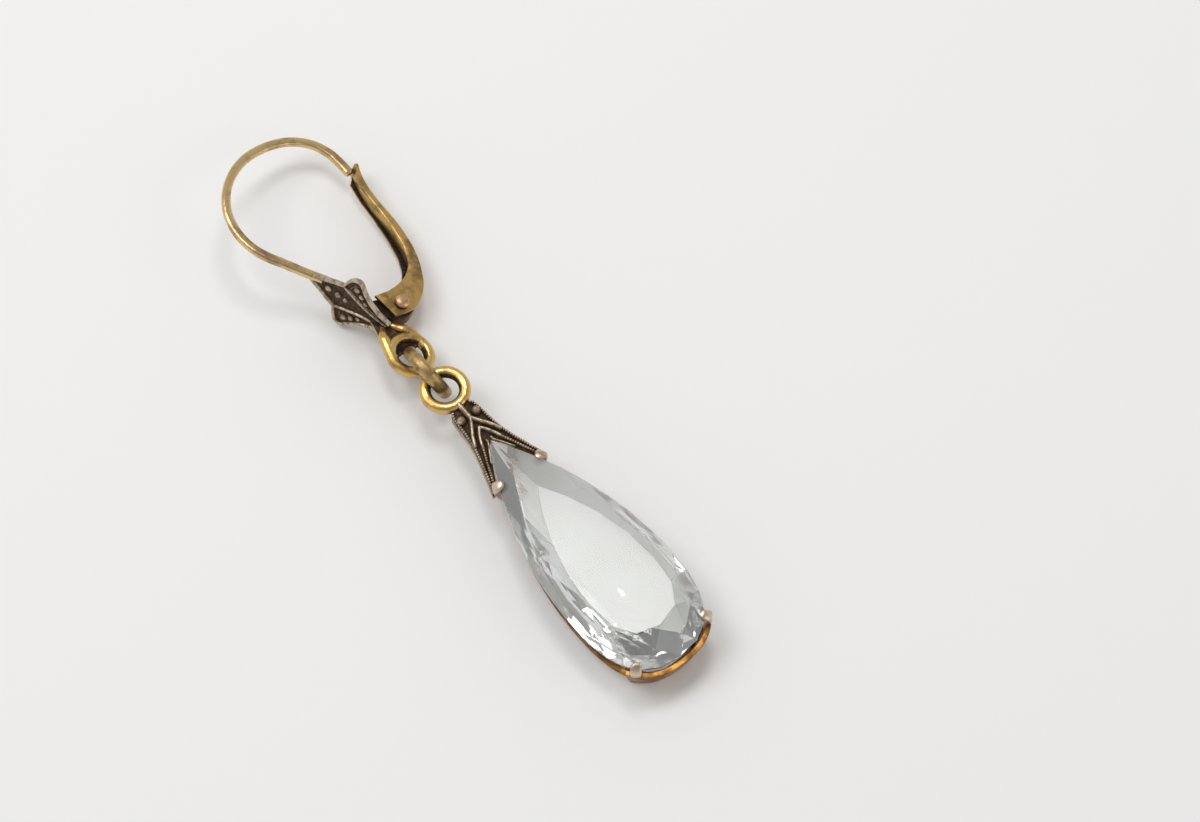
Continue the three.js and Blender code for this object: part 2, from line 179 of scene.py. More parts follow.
def smooth_line(points: Sequence[Sequence[float]], count: int) -> np.ndarray:
    """Returns an even walk along a smooth curve through the points.

    Args:
        points: The points that the curve passes.
        count: How many points to return.

    Returns:
        An array of points, evenly spaced along the curve.
    """
    given = np.asarray(points, float)
    padded = np.vstack([2 * given[0] - given[1], given, 2 * given[-1] - given[-2]])
    walk = []
    for p0, p1, p2, p3 in zip(padded, padded[1:], padded[2:], padded[3:]):
        k1 = np.linalg.norm(p1 - p0) ** 0.5
        k2 = k1 + np.linalg.norm(p2 - p1) ** 0.5
        k3 = k2 + np.linalg.norm(p3 - p2) ** 0.5
        for t in np.linspace(k1, k2, 24, endpoint=False):
            a1 = (k1 - t) / k1 * p0 + t / k1 * p1
            a2 = (k2 - t) / (k2 - k1) * p1 + (t - k1) / (k2 - k1) * p2
            a3 = (k3 - t) / (k3 - k2) * p2 + (t - k2) / (k3 - k2) * p3
            b1 = (k2 - t) / k2 * a1 + t / k2 * a2
            b2 = (k3 - t) / (k3 - k1) * a2 + (t - k1) / (k3 - k1) * a3
            walk.append((k2 - t) / (k2 - k1) * b1 + (t - k1) / (k2 - k1) * b2)
    walk.append(given[-1])
    return even_line(np.array(walk), count)


def even_line(points: np.ndarray, count: int) -> np.ndarray:
    """Returns points evenly spaced along a line of straight pieces.

    Args:
        points: The line's corners.
        count: How many points to return.

    Returns:
        The evenly spaced points.
    """
    run = np.concatenate([[0], np.cumsum(np.linalg.norm(np.diff(points, axis=0), axis=1))])
    at = np.linspace(0, run[-1], count)
    return np.stack([np.interp(at, run, points[:, k]) for k in range(points.shape[1])], axis=1)


def distance_to_line(points: np.ndarray, line: np.ndarray) -> np.ndarray:
    """Returns how far each flat point lies from a line of straight pieces.

    Args:
        points: Flat points, two numbers in the last axis.
        line: The line's corners.

    Returns:
        The distances, one for each point.
    """
    best = np.full(points.shape[:-1], np.inf)
    for a, b in zip(line[:-1], line[1:]):
        run = b - a
        share = np.clip(((points - a) @ run) / max(run @ run, 1e-12), 0, 1)
        best = np.minimum(best, np.linalg.norm(points - (a + share[..., None] * run), axis=-1))
    return best


def rounded_section(half_x: float, half_y: float, power: float = 2.0, count: int = 20) -> np.ndarray:
    """Returns the outline of a wire: an ellipse at power 2, a rounded rectangle above it.

    Args:
        half_x: Half the size along the first direction.
        half_y: Half the size along the second.
        power: How square the section is.
        count: How many points it has.

    Returns:
        The outline's points.
    """
    turn = np.linspace(0, 2 * np.pi, count, endpoint=False)
    c, s = np.cos(turn), np.sin(turn)
    grip = 2 / power
    return np.stack([half_x * np.sign(c) * abs(c) ** grip, half_y * np.sign(s) * abs(s) ** grip], axis=1)


class Shell:
    """Collects closed skins in millimetres and turns them into one mesh object."""

    def __init__(self, place: Place) -> None:
        """Starts an empty shell.

        Args:
            place: The frame that the points are given in.
        """
        self.place = place
        self.points: list[np.ndarray] = []
        self.faces: list[tuple[int, ...]] = []
        self.deep: list[np.ndarray] = []

    def _add(self, points: np.ndarray, deep: np.ndarray | None) -> int:
        """Stores points and returns the number of the first.

        Args:
            points: The new points.
            deep: How deep each lies in the relief, or how much painted shade it gets, 0 to 1, or None.

        Returns:
            The first new point's number.
        """
        start = sum(len(p) for p in self.points)
        self.points.append(self.place.out(points))
        self.deep.append(np.zeros(len(points)) if deep is None else deep)
        return start

    def tube(
        self,
        path: np.ndarray,
        section: np.ndarray | Callable[[float], np.ndarray],
        side: Sequence[float],
        closed: bool = False,
    ) -> None:
        """Adds a section carried along a path.

        Args:
            path: The middle line.
            section: The outline, or a call that gives it for a share of the length.
            side: The direction that the section's first axis is kept near.
            closed: Whether the path runs back into its start.
        """
        count = len(path)
        ahead = np.roll(path, -1, axis=0) - np.roll(path, 1, axis=0)
        if not closed:
            ahead[0], ahead[-1] = path[1] - path[0], path[-1] - path[-2]
        rings = []
        for i in range(count):
            t = ahead[i] / np.linalg.norm(ahead[i])
            a = np.asarray(side, float)
            a = a - (a @ t) * t
            a /= np.linalg.norm(a)
            b = np.cross(t, a)
            outline = section(i / (count - 1)) if callable(section) else section
            rings.append(path[i] + outline[:, :1] * a + outline[:, 1:] * b)
        self.rings(rings, closed)

    def rings(self, rings: Sequence[np.ndarray], closed: bool = False) -> None:
        """Adds a skin through rings with the same number of points.

        Args:
            rings: The rings in order.
            closed: Whether the last ring joins the first; otherwise both ends are capped.
        """
        sides, count = len(rings[0]), len(rings)
        start = self._add(np.vstack(rings), None)
        for i in range(count if closed else count - 1):
            for j in range(sides):
                a = start + i * sides + j
                b = start + i * sides + (j + 1) % sides
                c = start + ((i + 1) % count) * sides + (j + 1) % sides
                d = start + ((i + 1) % count) * sides + j
                self.faces.append((a, b, c, d))
        if not closed:
            self.faces.append(tuple(start + j for j in reversed(range(sides))))
            self.faces.append(tuple(start + (count - 1) * sides + j for j in range(sides)))

    def plate(self, top: np.ndarray, bottom: np.ndarray, deep: np.ndarray) -> None:
        """Adds a plate between two grids of points with the same shape.

        Args:
            top: Grid of points on the face that carries the relief.
            bottom: Grid of points on the back.
            deep: How deep each point of the face lies in the relief, 0 to 1.
        """
        rows, columns = top.shape[:2]
        upper = self._add(top.reshape(-1, 3), deep.reshape(-1))
        lower = self._add(bottom.reshape(-1, 3), None)
        number = np.arange(rows * columns).reshape(rows, columns)
        for i in range(rows - 1):
            for j in range(columns - 1):
                quad = (number[i, j], number[i + 1, j], number[i + 1, j + 1], number[i, j + 1])
                self.faces.append(tuple(int(upper + q) for q in quad))
                self.faces.append(tuple(int(lower + q) for q in reversed(quad)))
        edge = list(number[0, :-1]) + list(number[:-1, -1]) + list(number[-1, :0:-1]) + list(number[:0:-1, 0])
        for a, b in zip(edge, edge[1:] + edge[:1]):
            self.faces.append((int(upper + a), int(upper + b), int(lower + b), int(lower + a)))

    def torus(
        self,
        centre: Sequence[float],
        radius: float,
        section: np.ndarray,
        across: Sequence[float],
        along: Sequence[float],
        steps: int = 96,
        painted_shade: float = 0.0,
    ) -> None:
        """Adds a ring of wire.

        Args:
            centre: The ring's centre.
            radius: The radius of its middle line.
            section: The wire's outline, first axis along the ring's own axis.
            across: One direction in the ring's plane.
            along: The other direction in the ring's plane.
            steps: How many sections it has.
            painted_shade: How much painted shade darkens its inner wall, 0 to 1.
        """
        turn = np.linspace(0, 2 * np.pi, steps, endpoint=False)[:, None]
        u, v = np.asarray(across, float), np.asarray(along, float)
        path = np.asarray(centre, float) + radius * (np.cos(turn) * u + np.sin(turn) * v)
        self.tube(path, section, np.cross(u, v), closed=True)
        far = np.linalg.norm(self.points[-1] - self.place.out(np.asarray(centre, float)), axis=1)
        inward = np.clip((radius - far) / (radius - far.min()) * 1.5 - 0.1, 0, 1)
        # The inner wall is painted darker, as shade.
        self.deep[-1] = painted_shade * inward

    def dome(self, centre: Sequence[float], radius: float, height: float, sides: int = 28) -> None:
        """Adds a low round-headed button, its flat foot at the centre point and its axis along local Z.

        Args:
            centre: The middle of its foot.
            radius: Its radius.
            height: Its height, negative to build it downwards.
            sides: How many sides it has.
        """
        turn = np.linspace(0, 2 * np.pi, sides, endpoint=False)
        circle = np.stack([np.cos(turn), np.sin(turn), np.zeros(sides)], axis=1)
        foot = np.asarray(centre, float)
        self.rings([foot + circle * radius * r + (0, 0, height * h) for r, h in DOME])

    def slab(
        self,
        outline: np.ndarray,
        low: float,
        high: float,
        bevel: float,
        bend: Callable[[np.ndarray], np.ndarray] | None = None,
        painted_shade: float = 0.0,
    ) -> None:
        """Adds an upright plate with eased edges.

        Args:
            outline: Flat outline points.
            low: Its lower face.
            high: Its upper face.
            bevel: How far its edges are eased.
            bend: A call that moves the finished points, or None.
            painted_shade: How much painted shade darkens its upper face, 0 to 1.
        """
        work = bmesh.new()
        corners = [work.verts.new((x, y, low)) for x, y in outline]
        base = work.faces.new(corners)
        grown = bmesh.ops.extrude_face_region(work, geom=[base])["geom"]
        for item in grown:
            if isinstance(item, bmesh.types.BMVert):
                item.co.z = high
        bmesh.ops.recalc_face_normals(work, faces=work.faces)
        rim = [e for e in work.edges if abs(e.verts[0].co.z - e.verts[1].co.z) < 1e-6]
        bmesh.ops.bevel(
            work, geom=rim, offset=bevel, segments=2, profile=0.6, affect="EDGES", clamp_overlap=True
        )
        bmesh.ops.triangulate(work, faces=[f for f in work.faces if len(f.verts) > 4])
        work.verts.index_update()
        points = np.array([v.co for v in work.verts])
        # The upper face is painted darker, as shade.
        deep = np.where(points[:, 2] > (low + high) / 2, painted_shade, 0.0)
        start = self._add(points if bend is None else bend(points), deep)
        self.faces += [tuple(start + v.index for v in f.verts) for f in work.faces]
        work.free()

    def build(self, name: str, sharp: float = 38.0) -> bpy.types.Object:
        """Makes the mesh object.

        Args:
            name: The object's name.
            sharp: Edges that turn by more than this many degrees stay sharp.

        Returns:
            The object, in metres, at the origin.
        """
        mesh = bpy.data.meshes.new(name)
        mesh.from_pydata((np.vstack(self.points) * MM).tolist(), [], self.faces)
        work = bmesh.new()
        work.from_mesh(mesh)
        bmesh.ops.recalc_face_normals(work, faces=work.faces)
        work.to_mesh(mesh)
        work.free()
        mesh.polygons.foreach_set("use_smooth", [True] * len(mesh.polygons))
        mesh.set_sharp_from_angle(angle=math.radians(sharp))
        # Each point's share of dirt and painted shade, which the finishes darken by.
        layer = mesh.attributes.new("grime_and_shade", "FLOAT", "POINT")
        layer.data.foreach_set("value", np.concatenate(self.deep).astype(np.float32))
        return linked(name, mesh)


@dataclass(frozen=True)
class Relief:
    """Raised work on a plate: ridges and beads over a sunk ground.

    Args:
        ground: Height of the sunk ground over the plate.
        ridges: Lines with their width and height.
        beads: Domes as x, y, radius and height.
        bead_dirt: How much dirt the domes hold, 0 to 1.
    """

    ground: float
    ridges: tuple[tuple[np.ndarray, float, float], ...]
    beads: tuple[tuple[float, float, float, float], ...]
    bead_dirt: float = 0.0

    def height(self, points: np.ndarray) -> np.ndarray:
        """Returns the relief's height at flat points.

        Args:
            points: Flat points, two numbers in the last axis.

        Returns:
            The heights over the plate.
        """
        best = np.full(points.shape[:-1], self.ground)
        for line, width, high in self.ridges:
            share = np.clip(distance_to_line(points, line) / (width / 2), 0, 1.6)
            shape = np.where(share < 1, np.sqrt(np.clip(1 - 0.75 * share**2, 0, 1)), 0.5 - 1.2 * (share - 1))
            best = np.maximum(best, self.ground + (high - self.ground) * np.clip(shape, 0, 1))
        for x, y, radius, high in self.beads:
            far = np.linalg.norm(points - np.array([x, y]), axis=-1) / radius
            shape = np.sqrt(np.clip(1 - far**2, 0, 1))
            best = np.maximum(best, self.ground + (high - self.ground) * shape)
        return best

    def depth(self, points: np.ndarray) -> np.ndarray:
        """Returns how deep flat points lie in the relief.

        Args:
            points: Flat points, two numbers in the last axis.

        Returns:
            1 on the ground, falling to 0 halfway up the raised work.
        """
        top = max([high for _, _, high in self.ridges] + [bead[3] for bead in self.beads])
        share = (self.height(points) - self.ground) / (top - self.ground)
        deep = np.clip(1 - share * 2.2, 0, 1)
        for x, y, radius, _ in self.beads:
            near = np.linalg.norm(points - np.array([x, y]), axis=-1) < radius
            deep = np.where(near, np.maximum(deep, self.bead_dirt), deep)
        return deep


def linear_colour(code: str) -> tuple[float, float, float, float]:
    """Returns a screen colour as the renderer's linear one.

    Args:
        code: The colour, as six hexadecimal digits after a hash.

    Returns:
        Linear red, green, blue and alpha.
    """
    channels = [int(code[i : i + 2], 16) / 255 for i in (1, 3, 5)]
    turned = [c / 12.92 if c <= 0.04045 else ((c + 0.055) / 1.055) ** 2.4 for c in channels]
    return (turned[0], turned[1], turned[2], 1.0)


def add_node(tree: bpy.types.NodeTree, kind: str, inputs: dict | None = None, **settings) -> bpy.types.Node:
    """Adds a node, sets its options and fills or links its inputs.

    Args:
        tree: The node tree.
        kind: The node's type.
        inputs: Values or output sockets for its inputs, by name or number.
        **settings: The node's own options.

    Returns:
        The new node.
    """
    node = tree.nodes.new(kind)
    for key, value in settings.items():
        setattr(node, key, value)
    for key, value in (inputs or {}).items():
        if isinstance(value, bpy.types.NodeSocket):
            tree.links.new(value, node.inputs[key])
        else:
            node.inputs[key].default_value = value
    return node


def new_material(name: str) -> tuple[bpy.types.Material, bpy.types.Node, bpy.types.NodeSocket]:
    """Makes a material with its shader and the object's own coordinates.

    Args:
        name: The material's name.

    Returns:
        The material, its shader and the coordinates' socket.
    """
    material = bpy.data.materials.new(name)
    material.use_nodes = True
    place = add_node(material.node_tree, "ShaderNodeTexCoord").outputs["Object"]
    return material, material.node_tree.nodes["Principled BSDF"], place


def noise(
    tree: bpy.types.NodeTree, place: bpy.types.NodeSocket, size: float, detail: float, roughness: float = 0.5
) -> bpy.types.NodeSocket:
    """Adds a noise pattern.

    Args:
        tree: The node tree.
        place: The coordinates that it is read at.
        size: Size of its patches, in millimetres.
        detail: How many finer layers it has.
        roughness: How strong the finer layers are.

    Returns:
        The pattern's socket.
    """
    inputs = {"Vector": place, "Scale": 1 / (size * MM), "Detail": detail, "Roughness": roughness}
    return add_node(tree, "ShaderNodeTexNoise", inputs).outputs[0]


def maths(tree: bpy.types.NodeTree, operation: str, *values: object) -> bpy.types.NodeSocket:
    """Adds a node that calculates one number.

    Args:
        tree: The node tree.
        operation: What it does.
        *values: The numbers or sockets that it works on.

    Returns:
        The result's socket.
    """
    return add_node(tree, "ShaderNodeMath", dict(enumerate(values)), operation=operation).outputs[0]


def ramp(
    tree: bpy.types.NodeTree, value: bpy.types.NodeSocket, low: float, high: float
) -> bpy.types.NodeSocket:
    """Adds a node that turns a range of values into 0 to 1.

    Args:
        tree: The node tree.
        value: The value's socket.
        low: The value that gives 0.
        high: The value that gives 1.

    Returns:
        The result's socket.
    """
    inputs = {"Value": value, "From Min": low, "From Max": high}
    return add_node(tree, "ShaderNodeMapRange", inputs, clamp=True).outputs["Result"]


def mixed(tree: bpy.types.NodeTree, share: object, first: object, second: object) -> bpy.types.NodeSocket:
    """Adds a node that mixes two colours.

    Args:
        tree: The node tree.
        share: The second colour's share.
        first: The first colour.
        second: The second colour.

    Returns:
        The result's socket.
    """
    node = add_node(tree, "ShaderNodeMix", {0: share, 6: first, 7: second}, data_type="RGBA")
    return node.outputs[2]


@dataclass(frozen=True)
class MetalFinish:
    """Worn precious metal: a polished colour, patches of tarnish, and dirt with painted shade where nothing
    rubs.

    Args:
        name: What the metal is.
        polished: Colour of the rubbed metal.
        tarnish: Colour of the patches.
        dirt_and_shade: Colour of the dirt and the painted shade in the hollows.
        roughness: Roughness of the rubbed metal.
        patch_mm: Size of the patches.
        patch_start: Noise value at which a patch begins; lower gives more tarnish.
        scratch: Strength of the fine dents and scratches.
    """

    name: str
    polished: str
    tarnish: str
    dirt_and_shade: str
    roughness: float
    patch_mm: float = 2.2
    patch_start: float = 0.5
    scratch: float = 0.35

    # How softly a patch of tarnish ends, and how strong it is at most.
    PATCH_BLEND = 0.16
    PATCH_SHARE = 0.75
    # Size of the grain that breaks up the dirt and painted shade, in millimetres.
    GRAIN_MM = 0.22
    # Values between which clean metal turns to dirt and painted shade, and the dark colour to its paler
    # crust.
    DIRT_AND_SHADE_RANGE = (0.42, 0.78)
    CRUST_RANGE = (0.46, 0.66)
    # The scratches' direction, in radians, their stretch, and their width in millimetres.
    SCRATCH_TURN = (0.3, 0.2, 0.75)
    SCRATCH_STRETCH = (0.12, 1.0, 1.0)
    SCRATCH_MM = 0.12
    # Depths in millimetres.
    SCRATCH_DEPTH = 0.006
    DENT_DEPTH = 0.09

    def build(self) -> bpy.types.Material:
        """Makes the material.

        Returns:
            The material.
        """
        material, shader, place = new_material(self.name)
        tree = material.node_tree
        patch = noise(tree, place, self.patch_mm, 4.0, 0.62)
        patched = ramp(tree, patch, self.patch_start, self.patch_start + self.PATCH_BLEND)
        half_patch = maths(tree, "MULTIPLY", patched, self.PATCH_SHARE)
        fine = noise(tree, place, self.GRAIN_MM, 3.0)
        # The stored share darkens the metal with dirt and with painted shade in hollows and corners.
        held = add_node(tree, "ShaderNodeAttribute", attribute_name="grime_and_shade").outputs["Fac"]
        dirt_and_shade = ramp(tree, maths(tree, "MULTIPLY_ADD", fine, 0.35, held), *self.DIRT_AND_SHADE_RANGE)
        worn = mixed(tree, half_patch, linear_colour(self.polished), linear_colour(self.tarnish))
        crust = maths(tree, "MULTIPLY", ramp(tree, fine, *self.CRUST_RANGE), 0.4)
        dirt_and_shade_colour = mixed(tree, crust, linear_colour(self.dirt_and_shade), linear_colour(self.tarnish))
        tree.links.new(mixed(tree, dirt_and_shade, worn, dirt_and_shade_colour), shader.inputs["Base Color"])
        tree.links.new(maths(tree, "MULTIPLY_ADD", dirt_and_shade, -0.65, 1.0), shader.inputs["Metallic"])
        rough = maths(tree, "MULTIPLY_ADD", half_patch, 0.16, self.roughness)
        tree.links.new(maths(tree, "MULTIPLY_ADD", dirt_and_shade, 0.35, rough), shader.inputs["Roughness"])
        turned = {"Vector": place, "Rotation": self.SCRATCH_TURN, "Scale": self.SCRATCH_STRETCH}
        stretched = add_node(tree, "ShaderNodeMapping", turned).outputs[0]
        lines = noise(tree, stretched, self.SCRATCH_MM, 2.0)
        bump = {"Height": lines, "Strength": self.scratch, "Distance": self.SCRATCH_DEPTH * MM}
        scratches = add_node(tree, "ShaderNodeBump", bump).outputs[0]
        bump |= {"Height": patch, "Distance": self.DENT_DEPTH * MM, "Normal": scratches}
        tree.links.new(add_node(tree, "ShaderNodeBump", bump).outputs[0], shader.inputs["Normal"])
        return material


@dataclass(frozen=True)
class GemFinish:
    """A clear cut stone, seen through its polished facets.

    Args:
        name: What the stone is.
        tint: The body colour.
        ior: The stone's refractive index.
        clarity: How much of the light goes straight through the rubbed crown; the rest is scattered.
        crown: Heights between which the crown's facets lie, in millimetres.
    """

    name: str
    tint: str
    ior: float
    clarity: float = 0.8
    crown: tuple[float, float] = (3.0, 4.39)

    # The share of light that goes straight through the table and the pavilion.
    CLEAREST = 0.96

    def build(self) -> bpy.types.Material:
        """Makes the material.

        Returns:
            The material.
        """
        material, shader, place = new_material(self.name)
        tree = material.node_tree
        shader.inputs["IOR"].default_value = self.ior
        height = add_node(tree, "ShaderNodeSeparateXYZ", {0: place}).outputs["Z"]
        low, high = (edge * MM for edge in self.crown)
        over_girdle = ramp(tree, height, low, low + 0.05 * MM)
        under_table = ramp(tree, height, high, high - 0.03 * MM)
        on_crown = maths(tree, "MULTIPLY", over_girdle, under_table)
        clear = maths(tree, "MULTIPLY_ADD", on_crown, self.clarity - self.CLEAREST, self.CLEAREST)
        tree.links.new(clear, shader.inputs["Transmission Weight"])
        cloud = ramp(tree, noise(tree, place, 3.0, 2.0), 0.4, 0.7)
        body = mixed(tree, cloud, linear_colour(self.tint), linear_colour("#F8FAFB"))
        tree.links.new(body, shader.inputs["Base Color"])
        wear = ramp(tree, noise(tree, place, 0.5, 3.0), 0.3, 0.8)
        tree.links.new(maths(tree, "MULTIPLY", wear, 0.003), shader.inputs["Roughness"])
        return material


@dataclass(frozen=True)
class StudioFinish:
    """The matt paper that the earring lies on.

    Args:
        name: What it is.
        colour: Its colour.
    """

    name: str
    colour: str

    def build(self) -> bpy.types.Material:
        """Makes the material.

        Returns:
            The material.
        """
        material, shader, place = new_material(self.name)
        tree = material.node_tree
        grain = noise(tree, place, 4.0, 2.0)
        paper = linear_colour(self.colour)
        near = (paper[0] * 0.995, paper[1] * 0.995, paper[2] * 0.995, 1.0)
        tree.links.new(mixed(tree, grain, paper, near), shader.inputs["Base Color"])
        shader.inputs["Roughness"].default_value = 0.95
        shader.inputs["Specular IOR Level"].default_value = 0.0
        return material


# Warm worn gold, paler where fingers rub it; the patches give the wire its reddish arch.
WIRE_GOLD = MetalFinish("worn yellow gold wire", "#DDC08A", "#7A544C", "#2B1A10", 0.26, 2.6, 0.47, 0.6)
# The eyes are the brightest metal, so they read as two thick gold rings.
EYE_GOLD = MetalFinish("bright yellow gold eye", "#DAB672", "#8F6E3C", "#2E1D0E", 0.3, 1.3, 0.5, 0.7)
# Duller and greener, so the jump ring stands apart from the eyes it joins.
RING_GOLD = MetalFinish("dull greenish gold ring", "#C0A36E", "#57452A", "#36240F", 0.36, 1.3, 0.42, 0.8)
# Streaked brown and red, as a lever that is handled often.
LEVER_GOLD = MetalFinish("handled gold lever", "#CCA868", "#6E5438", "#1E130B", 0.3, 1.7, 0.46, 0.8)
# Pinkish copper, so the rivet's head shows on the lever's ear.
RIVET_GOLD = MetalFinish("pink gold rivet", "#DAB086", "#93704C", "#2A1A12", 0.36, 0.7, 0.5, 0.8)
# Nearly black brown: painted shade, so the block between the ears reads as a shadowed gap.
BLOCK_PAINTED_SHADE = MetalFinish("block painted dark as shade", "#7C6248", "#3E2C22", "#16100B", 0.4, 1.2, 0.4)
# White metal over a dark ground, which gives the fan and the cap their drawn look.
RELIEF_METAL = MetalFinish("white gold relief", "#C9B9A2", "#7A644C", "#3F2B1B", 0.34, 0.5, 0.44, 0.8)
# Fine beads, a shade warmer and softer than the ribs they edge.
BEAD_METAL = MetalFinish("milgrain beads", "#C2AF96", "#77604A", "#3F2B1B", 0.34, 0.5, 0.47)
# Pale pinkish tips, as white gold worn thin over yellow.
CLAW_METAL = MetalFinish("pale claw metal", "#D6C2AE", "#8C745C", "#33241A", 0.34, 0.8, 0.5, 0.6)
# Orange gold, which warms the round end of the stone.
COLLAR_GOLD = MetalFinish("orange gold collar", "#A87A40", "#603E20", "#2B190E", 0.36, 1.2, 0.44, 0.6)
# A nearly colourless aquamarine: its own index, and a breath of blue-green.
STONE_FINISH = GemFinish("pale aquamarine", "#F1F3EF", 1.577, 0.8)
PAPER = StudioFinish("matt white paper", "#F4F4F4")


def neck_outline(foot: np.ndarray, foot_half: float, radius: float) -> np.ndarray:
    """Returns the outline of the flat neck that flares from the fan's foot into the upper eye.

    Args:
        foot: The middle of its foot, from the eye's centre.
        foot_half: Half its width at the foot.
        radius: The eye's radius.

    Returns:
        Flat outline points.
    """
    turn = np.radians(np.linspace(256, 104, 17))
    seat = (radius - NECK_SEAT) * np.stack([np.cos(turn), np.sin(turn)], axis=1)
    sides = []
    for side in (-1, 1):
        tip = radius * np.array([-0.36, side * 1.14])
        start = np.array([foot[0], foot[1] + side * foot_half])
        waist = tip * 0.45 + start * 0.55 - (0, side * 0.08)
        sides.append(smooth_line([tip, waist, start][::side], 12)[::-1])
    return np.vstack([seat, *sides])


@dataclass(frozen=True)
class Pear:
    """The pear outline of the stone, with its long axis along X and the tip at the start.

    Args:
        length: The stone's length.
        half: Half its width.
        widest: Share of the length at which it is widest.
        tip_power: How straight the sides run to the tip.
        end_power: How full the round end is.
    """

    length: float = 21.3
    half: float = 4.5
    widest: float = 0.7
    tip_power: float = 2.1
    end_power: float = 2.5

    def half_width(self, share: float) -> float:
        """Returns half the width at a share of the length.

        Args:
            share: The share of the length from the tip.

        Returns:
            Half the width there.
        """
        if share < self.widest:
            return self.half * (1 - ((self.widest - share) / self.widest) ** self.tip_power)
        along = min((share - self.widest) / (1 - self.widest), 1)
        return self.half * (1 - along**self.end_power) ** (1 / self.end_power)

    def outline(self, count: int, scale: float = 1.0, start: float = 0.0) -> np.ndarray:
        """Returns points round the pear, drawn in towards its middle.

        Args:
            count: How many points.
            scale: The drawing-in, 1 for the full size.
            start: Turn of the first point, as a share of a step.

        Returns:
            Flat points, with the tip at x = 0.
        """
        points = []
        for i in range(count):
            turn = 2 * math.pi * (i + start) / count
            share = (1 - math.cos(turn)) / 2
            side = -math.copysign(1, math.sin(turn)) if abs(math.sin(turn)) > 1e-9 else 0
            x = (share - self.widest) * self.length * scale + self.widest * self.length
            points.append((x, side * self.half_width(share) * scale))
        return np.array(points)


@dataclass
class Stone:
    """The cut stone.

    Args:
        place: The drop's frame, its origin under the lower eye's centre.
        pear: The girdle's outline.
        tip: Distance from the eye's centre to the stone's tip.
        girdle_height: Height of the girdle.
        girdle: Thickness of the girdle.
        crown: Height of the crown.
        pavilion: Depth of the pavilion.
        table_share: The table's share of the girdle's size.
        facets: How many main facets go round.
    """

    place: Place
    pear: Pear = field(default_factory=Pear)
    tip: float = 5.2
    girdle_height: float = 2.95
    girdle: float = 0.2
    crown: float = 1.45
    pavilion: float = 2.2
    table_share: float = 0.64
    facets: int = 16

    def build(self) -> bpy.types.Object:
        """Cuts the stone.

        Returns:
            The stone.
        """
        # Each row of corners: how many, its turn in steps, its share of the girdle's size, and its height.
        rows = [
            (self.facets, 0.0, self.table_share, self.crown),
            (self.facets, 0.5, 0.84, self.crown * 0.6),
            (self.facets * 2, 0.0, 1.0, self.girdle / 2),
            (self.facets * 2, 0.0, 1.0, -self.girdle / 2),
            (self.facets, 0.5, 0.76, -self.pavilion * 0.42),
            (self.facets // 2, 0.0, 0.44, -self.pavilion * 0.8),
            (4, 0.5, 0.05, -self.pavilion),
        ]
        points = []
        for count, start, scale, z in rows:
            for x, y in self.pear.outline(count, scale, start):
                points.append((self.tip + x, y, self.girdle_height + z))
        work = bmesh.new()
        for x, y, z in self.place.out(np.array(points)) * MM:
            work.verts.new((x, y, z))
        hull = bmesh.ops.convex_hull(work, input=work.verts)
        loose = [item for item in hull["geom_interior"] if isinstance(item, bmesh.types.BMVert)]
        bmesh.ops.delete(work, geom=loose, context="VERTS")
        bmesh.ops.dissolve_limit(work, angle_limit=0.004, verts=work.verts, edges=work.edges)
        bmesh.ops.recalc_face_normals(work, faces=work.faces)
        mesh = bpy.data.meshes.new("cut stone")
        work.to_mesh(mesh)
        work.free()
        return linked("cut_stone", mesh)


@dataclass
class JumpRing:
    """The plain ring that joins the two eyes.

    Args:
        centre: Its centre in the shared frame.
        radius: Radius of its middle line.
        wire: The wire's thickness.
        tilt: Its lean off upright, in degrees.
    """

    centre: np.ndarray
    radius: float = 1.85
    wire: float = 1.0
    tilt: float = 15.0

    def build(self) -> bpy.types.Object:
        """Bends the ring.

        Returns:
            The ring.
        """
        shell = Shell(Place(self.centre, np.eye(3)))
        lean = math.radians(self.tilt)
        section = rounded_section(self.wire / 2, self.wire / 2 * 0.97, 2.2, 24)
        up = (0, -math.sin(lean), math.cos(lean))
        shell.torus((0, 0, 0), self.radius, section, (1, 0, 0), up, 112)
        return shell.build("plain_jump_ring")


